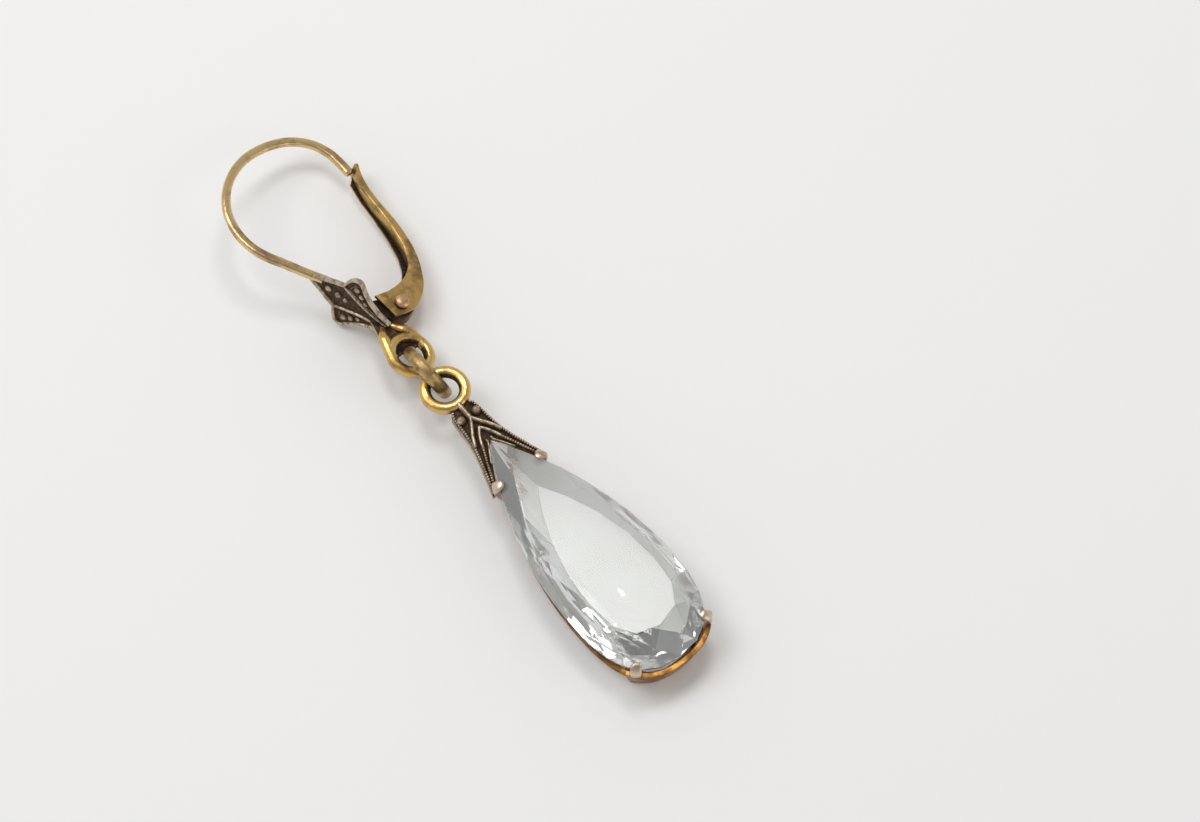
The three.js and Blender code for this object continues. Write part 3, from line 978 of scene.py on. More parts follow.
@dataclass
class EarHook:
    """The hook: ear wire, fan, hinge block and upper eye.

    Args:
        place: The hook's frame, its origin at the upper eye's centre.
        loop_radius: Radius of the wire's part circle.
        loop_up: Distance of the circle's centre up from the eye.
        loop_back: Distance of the circle's centre behind the eye.
        mouth: Up and back distances of the wire's end in the lever's mouth.
        wire_side: The wire's size across the hook's plane.
        wire_depth: The wire's size in the hook's plane.
        fan_length: The fan's length.
        fan_half: Half the fan's width.
        fan_thick: The fan plate's thickness.
        fan_lean: The fan's lean, in degrees.
        fan_tip: Up and front distances of the fan's tip.
        eye_radius: Radius of the eye's middle line.
        eye_wire: The eye's wire.
        rivet: Up and back distances of the rivet's axis.
        block_radius: Radius of the hinge block's knuckle.
        block_half: Half the block's thickness.
    """

    place: Place
    loop_radius: float = 5.87
    loop_up: float = 13.4
    loop_back: float = 0.5
    mouth: tuple[float, float] = (14.37, 5.63)
    wire_side: float = 0.52
    wire_depth: float = 0.68
    fan_length: float = 6.9
    fan_half: float = 2.82
    fan_thick: float = 0.3
    fan_lean: float = 19.8
    fan_tip: tuple[float, float] = (9.1, 2.42)
    eye_radius: float = 1.44
    eye_wire: float = 0.82
    rivet: tuple[float, float] = (3.47, 1.58)
    block_radius: float = 1.0
    block_half: float = 0.585

    # The loop's line: up and back, as shares of its radius.
    LOOP_LINE = (
        (0.315, 0.865), (0.532, 0.823), (0.729, 0.715), (0.888, 0.52), (0.971, 0.29), (1.0, 0.044),
        (0.973, -0.235), (0.864, -0.504), (0.685, -0.731), (0.463, -0.882), (0.232, -0.947), (0.022, -0.945),
        (-0.155, -0.898), (-0.308, -0.816), (-0.438, -0.719), (-0.586, -0.617), (-0.698, -0.538),
    )
    # The fan's edge: along as a share of its length, across as a share of its half-width.
    FAN_EDGE = (
        (0.0, 0.0), (0.03, 0.075), (0.05, 0.105), (0.15, 0.21), (0.28, 0.385), (0.35, 0.46), (0.376, 0.485),
        (0.388, 0.6), (0.405, 0.74), (0.435, 0.88), (0.47, 0.965), (0.51, 1.0), (0.55, 0.975), (0.59, 0.86),
        (0.635, 0.71), (0.72, 0.51), (0.84, 0.34), (1.0, 0.21),
    )
    # Where two lobes meet at the edge, in the same shares.
    FAN_NOTCH = (0.376, 0.48)
    # The seam between two lobes, from the notch on: along and across, in millimetres.
    FAN_SEAM = ((3.9, 0.82), (5.2, 0.42), (6.7, 0.2))
    # Width and height of the fan's rims, its seams and the line inside each side lobe.
    RIM_RIDGE = (0.34, 0.14)
    SEAM_RIDGE = (0.2, 0.1)
    LOBE_RIDGE = (0.13, -0.02)
    LOBE_SHARE = 0.7
    FAN_GROUND = -0.1
    BEAD_RADIUS = 0.3
    BEAD_HEIGHT = 0.12
    BEAD_DIRT = 0.25
    # The fan's beads: along and across as shares, and their size beside the largest.
    FAN_BEADS = (
        (0.255, 0.0, 1.0), (0.375, 0.0, 0.95), (0.47, 0.0, 0.75),
        (0.533, 0.7, 1.0), (0.61, 0.55, 0.9), (0.68, 0.39, 0.75),
    )

    def on_fan(self, along: np.ndarray, across: np.ndarray, behind: np.ndarray) -> np.ndarray:
        """Returns places on the fan in the hook's frame.

        Args:
            along: Distance from the fan's tip.
            across: Distance across the fan.
            behind: Distance behind its middle plane.

        Returns:
            The points, three numbers in the last axis.
        """
        lean = math.radians(self.fan_lean)
        x = -self.fan_tip[0] + along * math.cos(lean) - behind * math.sin(lean)
        y = -self.fan_tip[1] + along * math.sin(lean) + behind * math.cos(lean)
        return np.stack([x, y, across + 0 * x], axis=-1)

    def wire(self) -> bpy.types.Object:
        """Bends the ear wire.

        Returns:
            The wire.
        """
        loop = [
            (-self.loop_up - up * self.loop_radius, self.loop_back + back * self.loop_radius, 0.0)
            for up, back in self.LOOP_LINE
        ]
        behind = self.wire_depth / 2 + self.fan_thick / 2
        tail = [
            self.on_fan(np.array(self.fan_length * 0.3), np.array(0.0), np.array(behind)),
            self.on_fan(np.array(self.fan_length * 0.72), np.array(0.0), np.array(behind)),
        ]
        path = smooth_line([(-self.mouth[0], self.mouth[1], 0.0)] + loop + tail, 220)
        shell = Shell(self.place)

        def section(share: float) -> np.ndarray:
            """Returns the wire's section, slightly thinner where the ear has worn it.

            Args:
                share: Share of the wire's length.

            Returns:
                The outline.
            """
            wear = 1 - 0.05 * math.sin(share * 9.0) ** 2
            end = min(1.0, 0.8 + share * 60)
            return rounded_section(self.wire_side / 2 * wear * end, self.wire_depth / 2 * wear * end, 3.6, 24)

        shell.tube(path, section, (0, 0, 1))
        return shell.build("ear_wire")

    def fan_relief(self) -> Relief:
        """Lays out the fan's rims, seams and beads.

        Returns:
            The relief, in along and across.
        """
        edge = np.array([(a * self.fan_length, b * self.fan_half) for a, b in self.FAN_EDGE])
        ridges = []
        for side in Side:
            rim = edge * (1, side.value)
            along, across = self.FAN_NOTCH
            notch = np.array([along * self.fan_length, side.value * across * self.fan_half])
            seam = smooth_line([notch] + [(x, side.value * y) for x, y in self.FAN_SEAM], 20)
            lobe = np.vstack([rim[7:], seam[::-1]])
            middle = lobe.mean(axis=0)
            ridges.append((rim, *self.RIM_RIDGE))
            ridges.append((seam, *self.SEAM_RIDGE))
            ridges.append((middle + (lobe - middle) * self.LOBE_SHARE, *self.LOBE_RIDGE))
        beads = []
        for along, across, size in self.FAN_BEADS:
            for side in Side if across else (Side.LEFT,):
                spot = (along * self.fan_length, side.value * across * self.fan_half * 0.93)
                beads.append((*spot, self.BEAD_RADIUS * size, self.BEAD_HEIGHT))
        return Relief(self.FAN_GROUND, tuple(ridges), tuple(beads), self.BEAD_DIRT)

    def fan(self) -> bpy.types.Object:
        """Casts the fan with its dished lobes.

        Returns:
            The fan.
        """
        relief = self.fan_relief()
        edge = np.array(self.FAN_EDGE)
        along = np.linspace(0.0, 1.0, 190)
        half = np.maximum(np.interp(along, edge[:, 0], edge[:, 1]), 0.02) * self.fan_half
        v = np.linspace(-1, 1, 110)
        grid = np.broadcast_arrays(along[:, None] * self.fan_length, half[:, None] * v[None, :])
        flat = np.stack(grid, axis=-1)
        front = -self.fan_thick / 2 - relief.height(flat)
        top = self.on_fan(flat[..., 0], flat[..., 1], front)
        bottom = self.on_fan(flat[..., 0], flat[..., 1], np.full(front.shape, self.fan_thick / 2))
        shell = Shell(self.place)
        shell.plate(top, bottom, relief.depth(flat))
        return shell.build("fan", 55)

    def block(self) -> bpy.types.Object:
        """Makes the block that the lever's ears clasp.

        Returns:
            The block.
        """
        foot = self.on_fan(np.array(self.fan_length * 0.9), np.array(0.0), np.array(0.0))
        upper = self.on_fan(np.array(self.fan_length * 0.62), np.array(0.0), np.array(0.0))
        centre = np.array([-self.rivet[0], self.rivet[1]])
        turn = np.linspace(math.radians(-20), math.radians(200), 22)
        knuckle = centre + self.block_radius * np.stack([np.cos(turn), np.sin(turn)], axis=1)
        outline = np.vstack([[upper[:2], foot[:2]], knuckle])
        shell = Shell(self.place)
        shell.slab(outline, -self.block_half, self.block_half, 0.07)
        return shell.build("hinge_block")

    def eye(self) -> bpy.types.Object:
        """Makes the upper eye with the neck that runs to the fan's foot.

        Returns:
            The eye.
        """
        shell = Shell(self.place)
        section = rounded_section(self.eye_wire / 2 * 0.96, self.eye_wire / 2, 2.3, 22)
        # The eye's inner wall is painted dark as shade.
        shell.torus((0, 0, 0), self.eye_radius, section, (1, 0, 0), (0, 1, 0), painted_shade=0.9)
        foot = self.on_fan(np.array(self.fan_length * 0.84), np.array(0.0), np.array(0.0))
        web = neck_outline(foot[:2], 0.36, self.eye_radius)
        # The neck's web is painted fully dark as shade between the eye and the fan.
        shell.slab(web, -0.3, 0.08, 0.06, painted_shade=1.0)
        end = self.on_fan(np.array(self.fan_length * 0.96), np.array(0.0), np.array(0.0))
        for side in Side:
            arm = smooth_line([
                (end[0], end[1] + side.value * 0.26, 0.0),
                (end[0] + 0.55, end[1] * 0.8 + side.value * 0.66, 0.0),
                (-1.6, side.value * 1.04, 0.0),
                (-0.7, side.value * 1.3, 0.0),
                (0.0, side.value * 1.44, 0.0),
            ], 40)
            wire = rounded_section(0.39, 0.4, 2.4, 20)
            shell.tube(arm, lambda at: wire * min(1, 0.45 + at * 1.6), (0, 0, 1))
        return shell.build("upper_eye")

    def build(self) -> list[bpy.types.Object]:
        """Builds and dresses the hook.

        Returns:
            Its pieces.
        """
        wire, fan, block, eye = self.wire(), self.fan(), self.block(), self.eye()
        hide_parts("ear_hook")
        dress(wire, "root", Slot.HOOK, WIRE_GOLD)
        dress(fan, "root", Slot.HOOK, RELIEF_METAL)
        # The block is painted nearly black as shade between the ears.
        dress(block, "root", Slot.HOOK, BLOCK_PAINTED_SHADE)
        dress(eye, "root", Slot.HOOK, EYE_GOLD)
        return [wire, fan, block, eye]


@dataclass
class Lever:
    """The sprung lever: a channel open towards the loop, with two ears round the hinge block.

    Args:
        place: The hook's frame moved to the rivet's axis.
        reach: Length of the lever from the rivet.
        foot_half: Half its width at the foot.
        tip_half: Half its width at the tip.
        wall: Thickness of its walls.
    """

    place: Place
    reach: float = 11.1
    foot_half: float = 0.975
    tip_half: float = 0.68
    wall: float = 0.27

    TAPER_START = 0.15
    # The outline's three parts: along and back, as shares of the reach.
    OUTER = (
        (1.0, 0.43), (0.93, 0.398), (0.84, 0.376), (0.7, 0.366), (0.585, 0.37), (0.445, 0.365),
        (0.276, 0.337), (0.15, 0.289), (0.036, 0.222), (-0.035, 0.14), (-0.075, 0.055),
    )
    EAR = ((-0.075, -0.012), (-0.058, -0.098), (0.129, -0.125))
    INNER = (
        (0.116, -0.02), (0.125, 0.07), (0.155, 0.16), (0.214, 0.235), (0.301, 0.28), (0.45, 0.312),
        (0.638, 0.326), (0.8, 0.33), (0.93, 0.345),
    )

    def taper(self, x: np.ndarray) -> np.ndarray:
        """Returns how far the channel has narrowed towards its tip.

        Args:
            x: Places along the lever.

        Returns:
            Shares, 0 by the hinge and 1 at the tip.
        """
        return np.clip((-x / self.reach - self.TAPER_START) / (1 - self.TAPER_START), 0, 1)

    def flat(self, rows: Iterable[tuple[float, float]]) -> np.ndarray:
        """Returns shares of the reach as flat points.

        Args:
            rows: Rows of along and back.

        Returns:
            Flat points.
        """
        return np.array([(-a * self.reach, b * self.reach) for a, b in rows])

    def narrowed(self, points: np.ndarray) -> np.ndarray:
        """Draws the channel in towards its tip.

        Args:
            points: Points in the lever's frame.

        Returns:
            The moved points.
        """
        off_middle = np.clip(abs(points[:, 2]) / (self.foot_half - self.wall), 0, 1)
        drawn = (self.foot_half - self.tip_half) * self.taper(points[:, 0]) * off_middle
        moved = points.copy()
        moved[:, 2] -= np.sign(points[:, 2]) * drawn
        return moved

    def build(self) -> list[bpy.types.Object]:
        """Builds and dresses the lever.

        Returns:
            Its one piece.
        """
        outer = smooth_line(self.flat(self.OUTER), 60)
        inner = smooth_line(self.flat(self.INNER), 50)
        outline = np.vstack([outer, self.flat(self.EAR), inner])
        shell = Shell(self.place)
        shell.slab(outline, self.foot_half - self.wall, self.foot_half, 0.06, self.narrowed)
        # The far flange's inner face is painted dark as shade inside the channel.
        shell.slab(outline, -self.foot_half, self.wall - self.foot_half, 0.06, self.narrowed, painted_shade=0.85)
        ahead = np.gradient(outer, axis=0)
        inwards = np.stack([-ahead[:, 1], ahead[:, 0]], axis=1) / np.linalg.norm(ahead, axis=1)[:, None]
        if (inwards[30] @ (inner[25] - outer[30])) < 0:
            inwards = -inwards
        rings = []
        for point, way in zip(outer, inwards):
            half = self.foot_half - (self.foot_half - self.tip_half) * self.taper(point[0]) - 0.03
            back, front = point + way * 0.02, point + way * self.wall
            across = np.linspace(-half, half, 7)
            rings.append(np.array([(*back, z) for z in across] + [(*front, z) for z in across[::-1]]))
        shell.rings(rings)
        piece = shell.build("lever_channel", 40)
        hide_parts("lever")
        dress(piece, "lever", Slot.LEVER, LEVER_GOLD)
        return [piece]


@dataclass
class Rivet:
    """The rivet through the lever's ears, with a domed head on each side.

    Args:
        place: The hook's frame moved to the rivet's axis.
        radius: The shaft's radius.
        head_radius: The heads' radius.
        head_height: The heads' height.
        inner: Distance from the middle to the underside of a head.
    """

    place: Place
    radius: float = 0.3
    head_radius: float = 0.55
    head_height: float = 0.36
    inner: float = 1.095

    def build(self) -> list[bpy.types.Object]:
        """Builds and dresses the rivet.

        Returns:
            Its one piece.
        """
        shell = Shell(self.place)
        turn = np.linspace(0, 2 * np.pi, 24, endpoint=False)
        ring = np.stack([self.radius * np.cos(turn), self.radius * np.sin(turn), 0 * turn], axis=1)
        shell.rings([ring + (0, 0, z) for z in (-self.inner - 0.1, 0, self.inner + 0.1)])
        shell.dome((0, 0, self.inner), self.head_radius, self.head_height)
        shell.dome((0, 0, -self.inner), self.head_radius, -self.head_height)
        piece = shell.build("domed_rivet")
        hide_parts("rivet")
        dress(piece, "root", Slot.RIVET, RIVET_GOLD)
        return [piece]


@dataclass
class Setting:
    """The drop's mount: lower eye, relief cap, four claws, collar and the rail that it lies on.

    Args:
        place: The drop's frame, its origin under the lower eye's centre.
        stone: The stone that it holds.
        eye_height: Height of the eye's middle.
        eye_radius: Radius of the eye's middle line.
        eye_wire: The eye's wire.
        cap_depth: How deep the cap's walls go.
        claw_shares: The claws' places, as shares of the stone's length.
        claw_width: Width of a claw.
        claw_thick: Thickness of a claw.
        rail_inset: How far the rail is drawn in from the girdle.
        rail_width: The rail's width.
        rail_height: The rail's height.
        gap: Clearance round the stone.
    """

    place: Place
    stone: Stone
    eye_height: float = 2.75
    eye_radius: float = 1.44
    eye_wire: float = 0.82
    cap_depth: float = 0.95
    claw_shares: tuple[float, float] = (0.155, 0.945)
    claw_width: float = 0.85
    claw_thick: float = 0.4
    rail_inset: float = 0.5
    rail_width: float = 0.55
    rail_height: float = 0.7
    gap: float = 0.12

    # The cap's edge: distance from the eye's centre, and half its width there.
    CAP_EDGE = (
        (1.45, 0.5), (1.75, 0.8), (2.05, 1.03), (2.6, 1.12), (3.4, 1.18), (4.3, 1.25), (5.2, 1.42),
        (6.3, 1.75), (7.4, 2.1), (8.5, 2.5),
    )
    # The relief's lines by kind: width, and height over the cap's plate.
    RIDGES = {
        "rim": (0.24, -0.04), "chevron": (0.32, 0.2), "inner": (0.28, 0.16), "arm": (0.22, -0.04),
        "lip": (0.2, 0.06), "spine": (0.42, 0.18),
    }
    GROUND = -0.24
    # One ball bead: along, across, radius and height.
    BALL = (2.7, 0.68, 0.37, 0.38)
    # One side of the relief's lines: along and across, in millimetres.
    CHEVRON = ((2.9, 0.0), (3.5, 0.36), (4.2, 0.82), (4.9, 1.16))
    INNER_BEND = ((3.9, 0.0), (4.3, 0.3), (4.8, 0.58))
    SPINE = ((1.4, 0.0), (2.9, 0.0))
    # Where the rims, the arms' beaded lines and the lips by the stone begin and end, along.
    RIM_SPAN = (1.9, 8.45)
    ARM_SPAN = (5.4, 8.3)
    LIP_SPAN = (5.0, 6.6)
    # Where the cap's sheet begins, forks into two arms and ends, along.
    CAP_START = 1.5
    FORK = 5.12
    CAP_END = 8.55
    MILGRAIN_PITCH = 0.2
    MILGRAIN_RADIUS = 0.105
    # The round end's collar: first and last turn, and how fast its ends fade.
    COLLAR_TURNS = (-0.86, 0.78)
    COLLAR_FADE = 0.16
    # The rail's section, as shares of its width and height.
    RAIL_SECTION = (
        (0, 0.12), (0.12, 0), (0.88, 0), (1, 0.12), (1, 0.88), (0.88, 1), (0.12, 1), (0, 0.88),
    )

    @property
    def cap_top(self) -> float:
        """Height of the cap's plate."""
        return self.stone.girdle_height + self.stone.crown * 0.05

    def cap_half(self, x: np.ndarray) -> np.ndarray:
        """Returns half the cap's width.

        Args:
            x: Distances from the eye's centre.

        Returns:
            Half-widths.
        """
        edge = np.array(self.CAP_EDGE)
        return np.interp(x, edge[:, 0], edge[:, 1])

    def stone_half(self, x: np.ndarray) -> np.ndarray:
        """Returns half the stone's width at distances from the eye.

        Args:
            x: Distances from the eye's centre.

        Returns:
            Half-widths, zero before the tip.
        """
        pear = self.stone.pear
        shares = (x - self.stone.tip) / pear.length
        return np.array([pear.half_width(s) if s > 0 else 0.0 for s in shares])

    def eye(self) -> bpy.types.Object:
        """Makes the lower eye and its neck.

        Returns:
            The eye.
        """
        shell = Shell(self.place)
        section = rounded_section(self.eye_wire / 2, self.eye_wire / 2 * 1.04, 2.3, 22)
        # The eye's inner wall is painted dark as shade.
        shell.torus((0, 0, self.eye_height), self.eye_radius, section, (1, 0, 0), (0, 1, 0), painted_shade=0.9)
        path = even_line(np.array([(1.25, 0, self.eye_height - 0.1), (2.15, 0, self.eye_height - 0.24)]), 18)

        def neck(share: float) -> np.ndarray:
            """Returns the neck's section, flaring into the cap.

            Args:
                share: Share of its length.

            Returns:
                The outline.
            """
            half = 0.8 - 0.12 * math.sin(share * math.pi) + 0.1 * share
            return rounded_section(0.3 - 0.08 * share, half, 2.5, 22)

        shell.tube(path, neck, (0, 0, 1))
        return shell.build("lower_eye")

    def cap_lines(self) -> dict[str, list[np.ndarray]]:
        """Lays out the lines of the cap's relief.

        Returns:
            Lines by kind, in the order of RIDGES.
        """
        lines: dict[str, list[np.ndarray]] = {kind: [] for kind in self.RIDGES}
        xs = np.linspace(*self.RIM_SPAN, 60)
        arm = np.linspace(*self.ARM_SPAN, 30)
        lip = np.linspace(*self.LIP_SPAN, 16)
        middle = (self.stone_half(arm) + self.gap + self.cap_half(arm)) / 2 - 0.04
        for side in Side:
            s = side.value
            lines["rim"].append(np.stack([xs, s * (self.cap_half(xs) - 0.12)], axis=1))
            lines["chevron"].append(smooth_line([(x, s * y) for x, y in self.CHEVRON], 24))
            run = [*self.INNER_BEND, *zip(arm, middle)]
            line = smooth_line([(x, s * y) for x, y in run], 90)
            lines["inner"].append(line[:32])
            lines["arm"].append(line[30:])
            lines["lip"].append(np.stack([lip, s * (self.stone_half(lip) + self.gap + 0.09)], axis=1))
        lines["spine"].append(np.array(self.SPINE))
        return lines

    def relief(self) -> Relief:
        """Lays out the cap's rims, chevrons and ball beads.

        Returns:
            The relief, in along and across.
        """
        lines = self.cap_lines()
        ridges = tuple((line, *self.RIDGES[kind]) for kind in self.RIDGES for line in lines[kind])
        along, across, radius, rise = self.BALL
        beads = tuple((along, side.value * across, radius, rise) for side in Side)
        return Relief(self.GROUND, ridges, beads)

    def cap(self) -> bpy.types.Object:
        """Casts the cap over the stone's tip and its two arms.

        Returns:
            The cap.
        """
        relief = self.relief()
        shell = Shell(self.place)

        def sheet(xs: np.ndarray, low: np.ndarray, high: np.ndarray, columns: int) -> None:
            """Adds one plate of the cap.

            Args:
                xs: Distances along.
                low: Its lower edge at each.
                high: Its upper edge at each.
                columns: How many points go across.
            """
            v = np.linspace(0, 1, columns)
            grid = np.broadcast_arrays(xs[:, None], low[:, None] + (high - low)[:, None] * v)
            flat = np.stack(grid, axis=-1)
            top = np.concatenate([flat, (self.cap_top + relief.height(flat))[..., None]], axis=-1)
            floor = np.full(flat.shape[:2], self.cap_top - self.cap_depth)
            bottom = np.concatenate([flat, floor[..., None]], axis=-1)
            shell.plate(top, bottom, relief.depth(flat))

        xs = np.linspace(self.CAP_START, self.FORK, 110)
        sheet(xs, -self.cap_half(xs), self.cap_half(xs), 90)
        arm = np.linspace(self.FORK, self.CAP_END, 110)
        inner = self.stone_half(arm) + self.gap
        for side in Side:
            sheet(arm, side.value * inner, side.value * self.cap_half(arm), 36)
        return shell.build("relief_cap", 55)

    def claw(self, shell: Shell, share: float, side: Side) -> None:
        """Adds one claw: a leg from the rail, bent in over the girdle.

        Args:
            shell: The shell to add it to.
            share: Its place, as a share of the stone's length.
            side: The side that it stands on.
        """
        step = 0.01
        x = self.stone.tip + share * self.stone.pear.length
        y = side.value * self.stone.pear.half_width(share)
        ahead = side.value * self.stone.pear.half_width(share + step) - y
        out = np.array([-side.value * ahead, side.value * step * self.stone.pear.length])
        out /= np.linalg.norm(out)
        half = self.claw_thick / 2
        lean = self.rail_inset + self.rail_width / 2
        top = self.stone.girdle_height + self.stone.crown * 0.5
        # The leg's middle line: distance out from the girdle, and height.
        profile = [
            (-lean, self.rail_height * 0.5),
            (self.gap + half * 0.9, self.stone.girdle_height - 0.25),
            (self.gap + half, self.stone.girdle_height + 0.3),
            (self.gap + half * 0.2, top - 0.3),
            (-0.12, top - 0.12),
            (-0.3, top - 0.1),
        ]
        path = smooth_line([(x + out[0] * r, y + out[1] * r, z) for r, z in profile], 44)
        wide = np.array([-out[1], out[0], 0])

        def section(at: float) -> np.ndarray:
            """Returns the claw's section, thinner at its tip.

            Args:
                at: Share of its length.

            Returns:
                The outline.
            """
            end = max(at - 0.86, 0) / 0.14
            ease = math.sqrt(1 - 0.84 * end * end)
            wide_half = self.claw_width / 2 * (0.8 + 0.2 * min(at * 2, 1))
            return rounded_section(wide_half * ease, half * ease, 2.8, 24)

        shell.tube(path, section, wide)

    def claws(self, share: float, name: str) -> bpy.types.Object:
        """Bends a pair of claws.

        Args:
            share: Their place, as a share of the stone's length.
            name: The piece's name.

        Returns:
            The pair.
        """
        shell = Shell(self.place)
        for side in Side:
            self.claw(shell, share, side)
        return shell.build(name)

    def collar(self) -> bpy.types.Object:
        """Bends the collar round the stone's round end.

        Returns:
            The collar.
        """
        shell = Shell(self.place)
        pear = self.stone.pear
        first, last = self.COLLAR_TURNS
        middle = np.array([self.stone.tip + pear.widest * pear.length, 0.0])
        top = self.stone.girdle_height - 0.2
        # The section's corners: distance out from the girdle, and height.
        corners = [
            (self.gap - 0.7, 0.0), (self.gap - 0.33, 0.0), (self.gap - 0.28, 0.05),
            (self.gap + 0.4, top - 0.06), (self.gap + 0.36, top), (self.gap + 0.04, top),
        ]
        rings = []
        # A turn of 0 is the round end's middle, and its sign tells the side.
        for turn in np.linspace(first, last, 81):
            share = 1 - 0.13 * turn * turn
            half = math.copysign(pear.half_width(share), turn)
            spot = np.array([self.stone.tip + share * pear.length, half])
            out = (spot - middle) / np.linalg.norm(spot - middle)
            fade = min(1.0, min(turn - first, last - turn) / self.COLLAR_FADE + 0.25)
            rings.append(np.array([(*(spot + out * r), top + (z - top) * fade) for r, z in corners]))
        shell.rings(rings)
        return shell.build("collar")

    def rail(self) -> bpy.types.Object:
        """Makes the rail that the drop lies on.

        Returns:
            The rail.
        """
        shell = Shell(self.place)
        pear = self.stone.pear
        widest = pear.widest * pear.length
        outline = pear.outline(120)
        edges = []
        for inset in (self.rail_inset, self.rail_inset + self.rail_width):
            x = self.stone.tip + widest + (outline[:, 0] - widest) * (1 - 2 * inset / pear.length)
            edges.append(np.stack([x, outline[:, 1] * (1 - inset / pear.half)], axis=1))
        rings = []
        for outer, inner in zip(*edges):
            rows = [(*(outer + (inner - outer) * u), self.rail_height * v) for u, v in self.RAIL_SECTION]
            rings.append(np.array(rows))
        shell.rings(rings, closed=True)
        return shell.build("base_rail")

    def build(self) -> list[bpy.types.Object]:
        """Builds and dresses the mount.

        Returns:
            Its pieces.
        """
        eye, cap, collar, rail = self.eye(), self.cap(), self.collar(), self.rail()
        upper = self.claws(self.claw_shares[0], "upper_claws")
        lower = self.claws(self.claw_shares[1], "lower_claws")
        lines = self.cap_lines()
        rows = [
            np.concatenate([line, np.full((len(line), 1), self.cap_top)], axis=1)
            for line in lines["rim"] + lines["arm"]
        ]
        beads = BeadRows(self.place, self.MILGRAIN_PITCH, self.MILGRAIN_RADIUS).build(rows, "milgrain")
        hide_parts("setting")
        pieces = [eye, cap, beads, upper, lower, collar, rail]
        finishes = (EYE_GOLD, RELIEF_METAL, BEAD_METAL, CLAW_METAL, CLAW_METAL, COLLAR_GOLD, COLLAR_GOLD)
        for piece, finish in zip(pieces, finishes):
            dress(piece, "root", Slot.SETTING, finish)
        return pieces


@dataclass(frozen=True)
class BeadRows:
    """Rows of fine beads laid along lines by a Geometry Nodes tree.

    Args:
        place: The frame that the lines are given in.
        pitch: Distance between beads.
        radius: A bead's radius.
    """

    place: Place
    pitch: float
    radius: float

    def tree(self) -> bpy.types.NodeTree:
        """Makes the tree: the line is cut into even steps, and each step gets a bead.

        Returns:
            The node tree.
        """
        tree = bpy.data.node_groups.new("Bead row", "GeometryNodeTree")
        ports = tree.interface
        ports.new_socket("Geometry", in_out="INPUT", socket_type="NodeSocketGeometry")
        ports.new_socket("Pitch", in_out="INPUT", socket_type="NodeSocketFloat")
        ports.new_socket("Bead radius", in_out="INPUT", socket_type="NodeSocketFloat")
        ports.new_socket("Material", in_out="INPUT", socket_type="NodeSocketMaterial")
        ports.new_socket("Geometry", in_out="OUTPUT", socket_type="NodeSocketGeometry")
        given = add_node(tree, "NodeGroupInput").outputs
        line = add_node(tree, "GeometryNodeMeshToCurve", {"Mesh": given["Geometry"]}).outputs[0]
        spaced = {"Curve": line, "Length": given["Pitch"]}
        steps = add_node(tree, "GeometryNodeResampleCurve", spaced, mode="LENGTH").outputs[0]
        sized = {"Radius": given["Bead radius"], "Subdivisions": 2}
        ball = add_node(tree, "GeometryNodeMeshIcoSphere", sized).outputs[0]
        beaded = {"Points": steps, "Instance": ball}
        placed = add_node(tree, "GeometryNodeInstanceOnPoints", beaded).outputs[0]
        real = add_node(tree, "GeometryNodeRealizeInstances", {"Geometry": placed}).outputs[0]
        coated = {"Geometry": real, "Material": given["Material"]}
        painted = add_node(tree, "GeometryNodeSetMaterial", coated).outputs[0]
        add_node(tree, "NodeGroupOutput", {"Geometry": painted})
        return tree

    def build(self, lines: Sequence[np.ndarray], name: str) -> bpy.types.Object:
        """Lays the beads.

        Args:
            lines: The lines, in the rows' frame.
            name: The piece's name.

        Returns:
            The beads, as one plain mesh.
        """
        mesh = bpy.data.meshes.new(name)
        points, edges = [], []
        for line in lines:
            start = len(points)
            points += (self.place.out(line) * MM).tolist()
            edges += [(start + i, start + i + 1) for i in range(len(line) - 1)]
        mesh.from_pydata(points, edges, [])
        piece = linked(name, mesh)
        tree = self.tree()
        modifier = piece.modifiers.new("Bead row", "NODES")
        modifier.node_group = tree
        sizes = {"Pitch": self.pitch * MM, "Bead radius": self.radius * MM, "Material": finish_of(BEAD_METAL)}
        for socket in tree.interface.items_tree:
            if socket.in_out == "INPUT" and socket.name in sizes:
                modifier[socket.identifier] = sizes[socket.name]
        bpy.context.view_layer.update()
        evaluated = piece.evaluated_get(bpy.context.evaluated_depsgraph_get())
        plain = bpy.data.meshes.new_from_object(evaluated)
        piece.modifiers.remove(modifier)
        piece.data = plain
        plain.polygons.foreach_set("use_smooth", [True] * len(plain.polygons))
        return piece


_finishes: dict[str, bpy.types.Material] = {}


def finish_of(finish: MetalFinish | GemFinish | StudioFinish) -> bpy.types.Material:
    """Returns a finish's material, made once.

    Args:
        finish: The finish.

    Returns:
        Its material.
    """
    if finish.name not in _finishes:
        _finishes[finish.name] = finish.build()
    return _finishes[finish.name]


def dress(piece: bpy.types.Object, body: str, slot: Slot, finish: MetalFinish | GemFinish) -> None:
    """Gives a piece its body and finish.

    Args:
        piece: The piece.
        body: The CAD body that it moves with.
        slot: Not used.
        finish: Its finish.
    """
    piece.data.materials.clear()
    piece.data.materials.append(finish_of(finish))
    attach(piece, body)


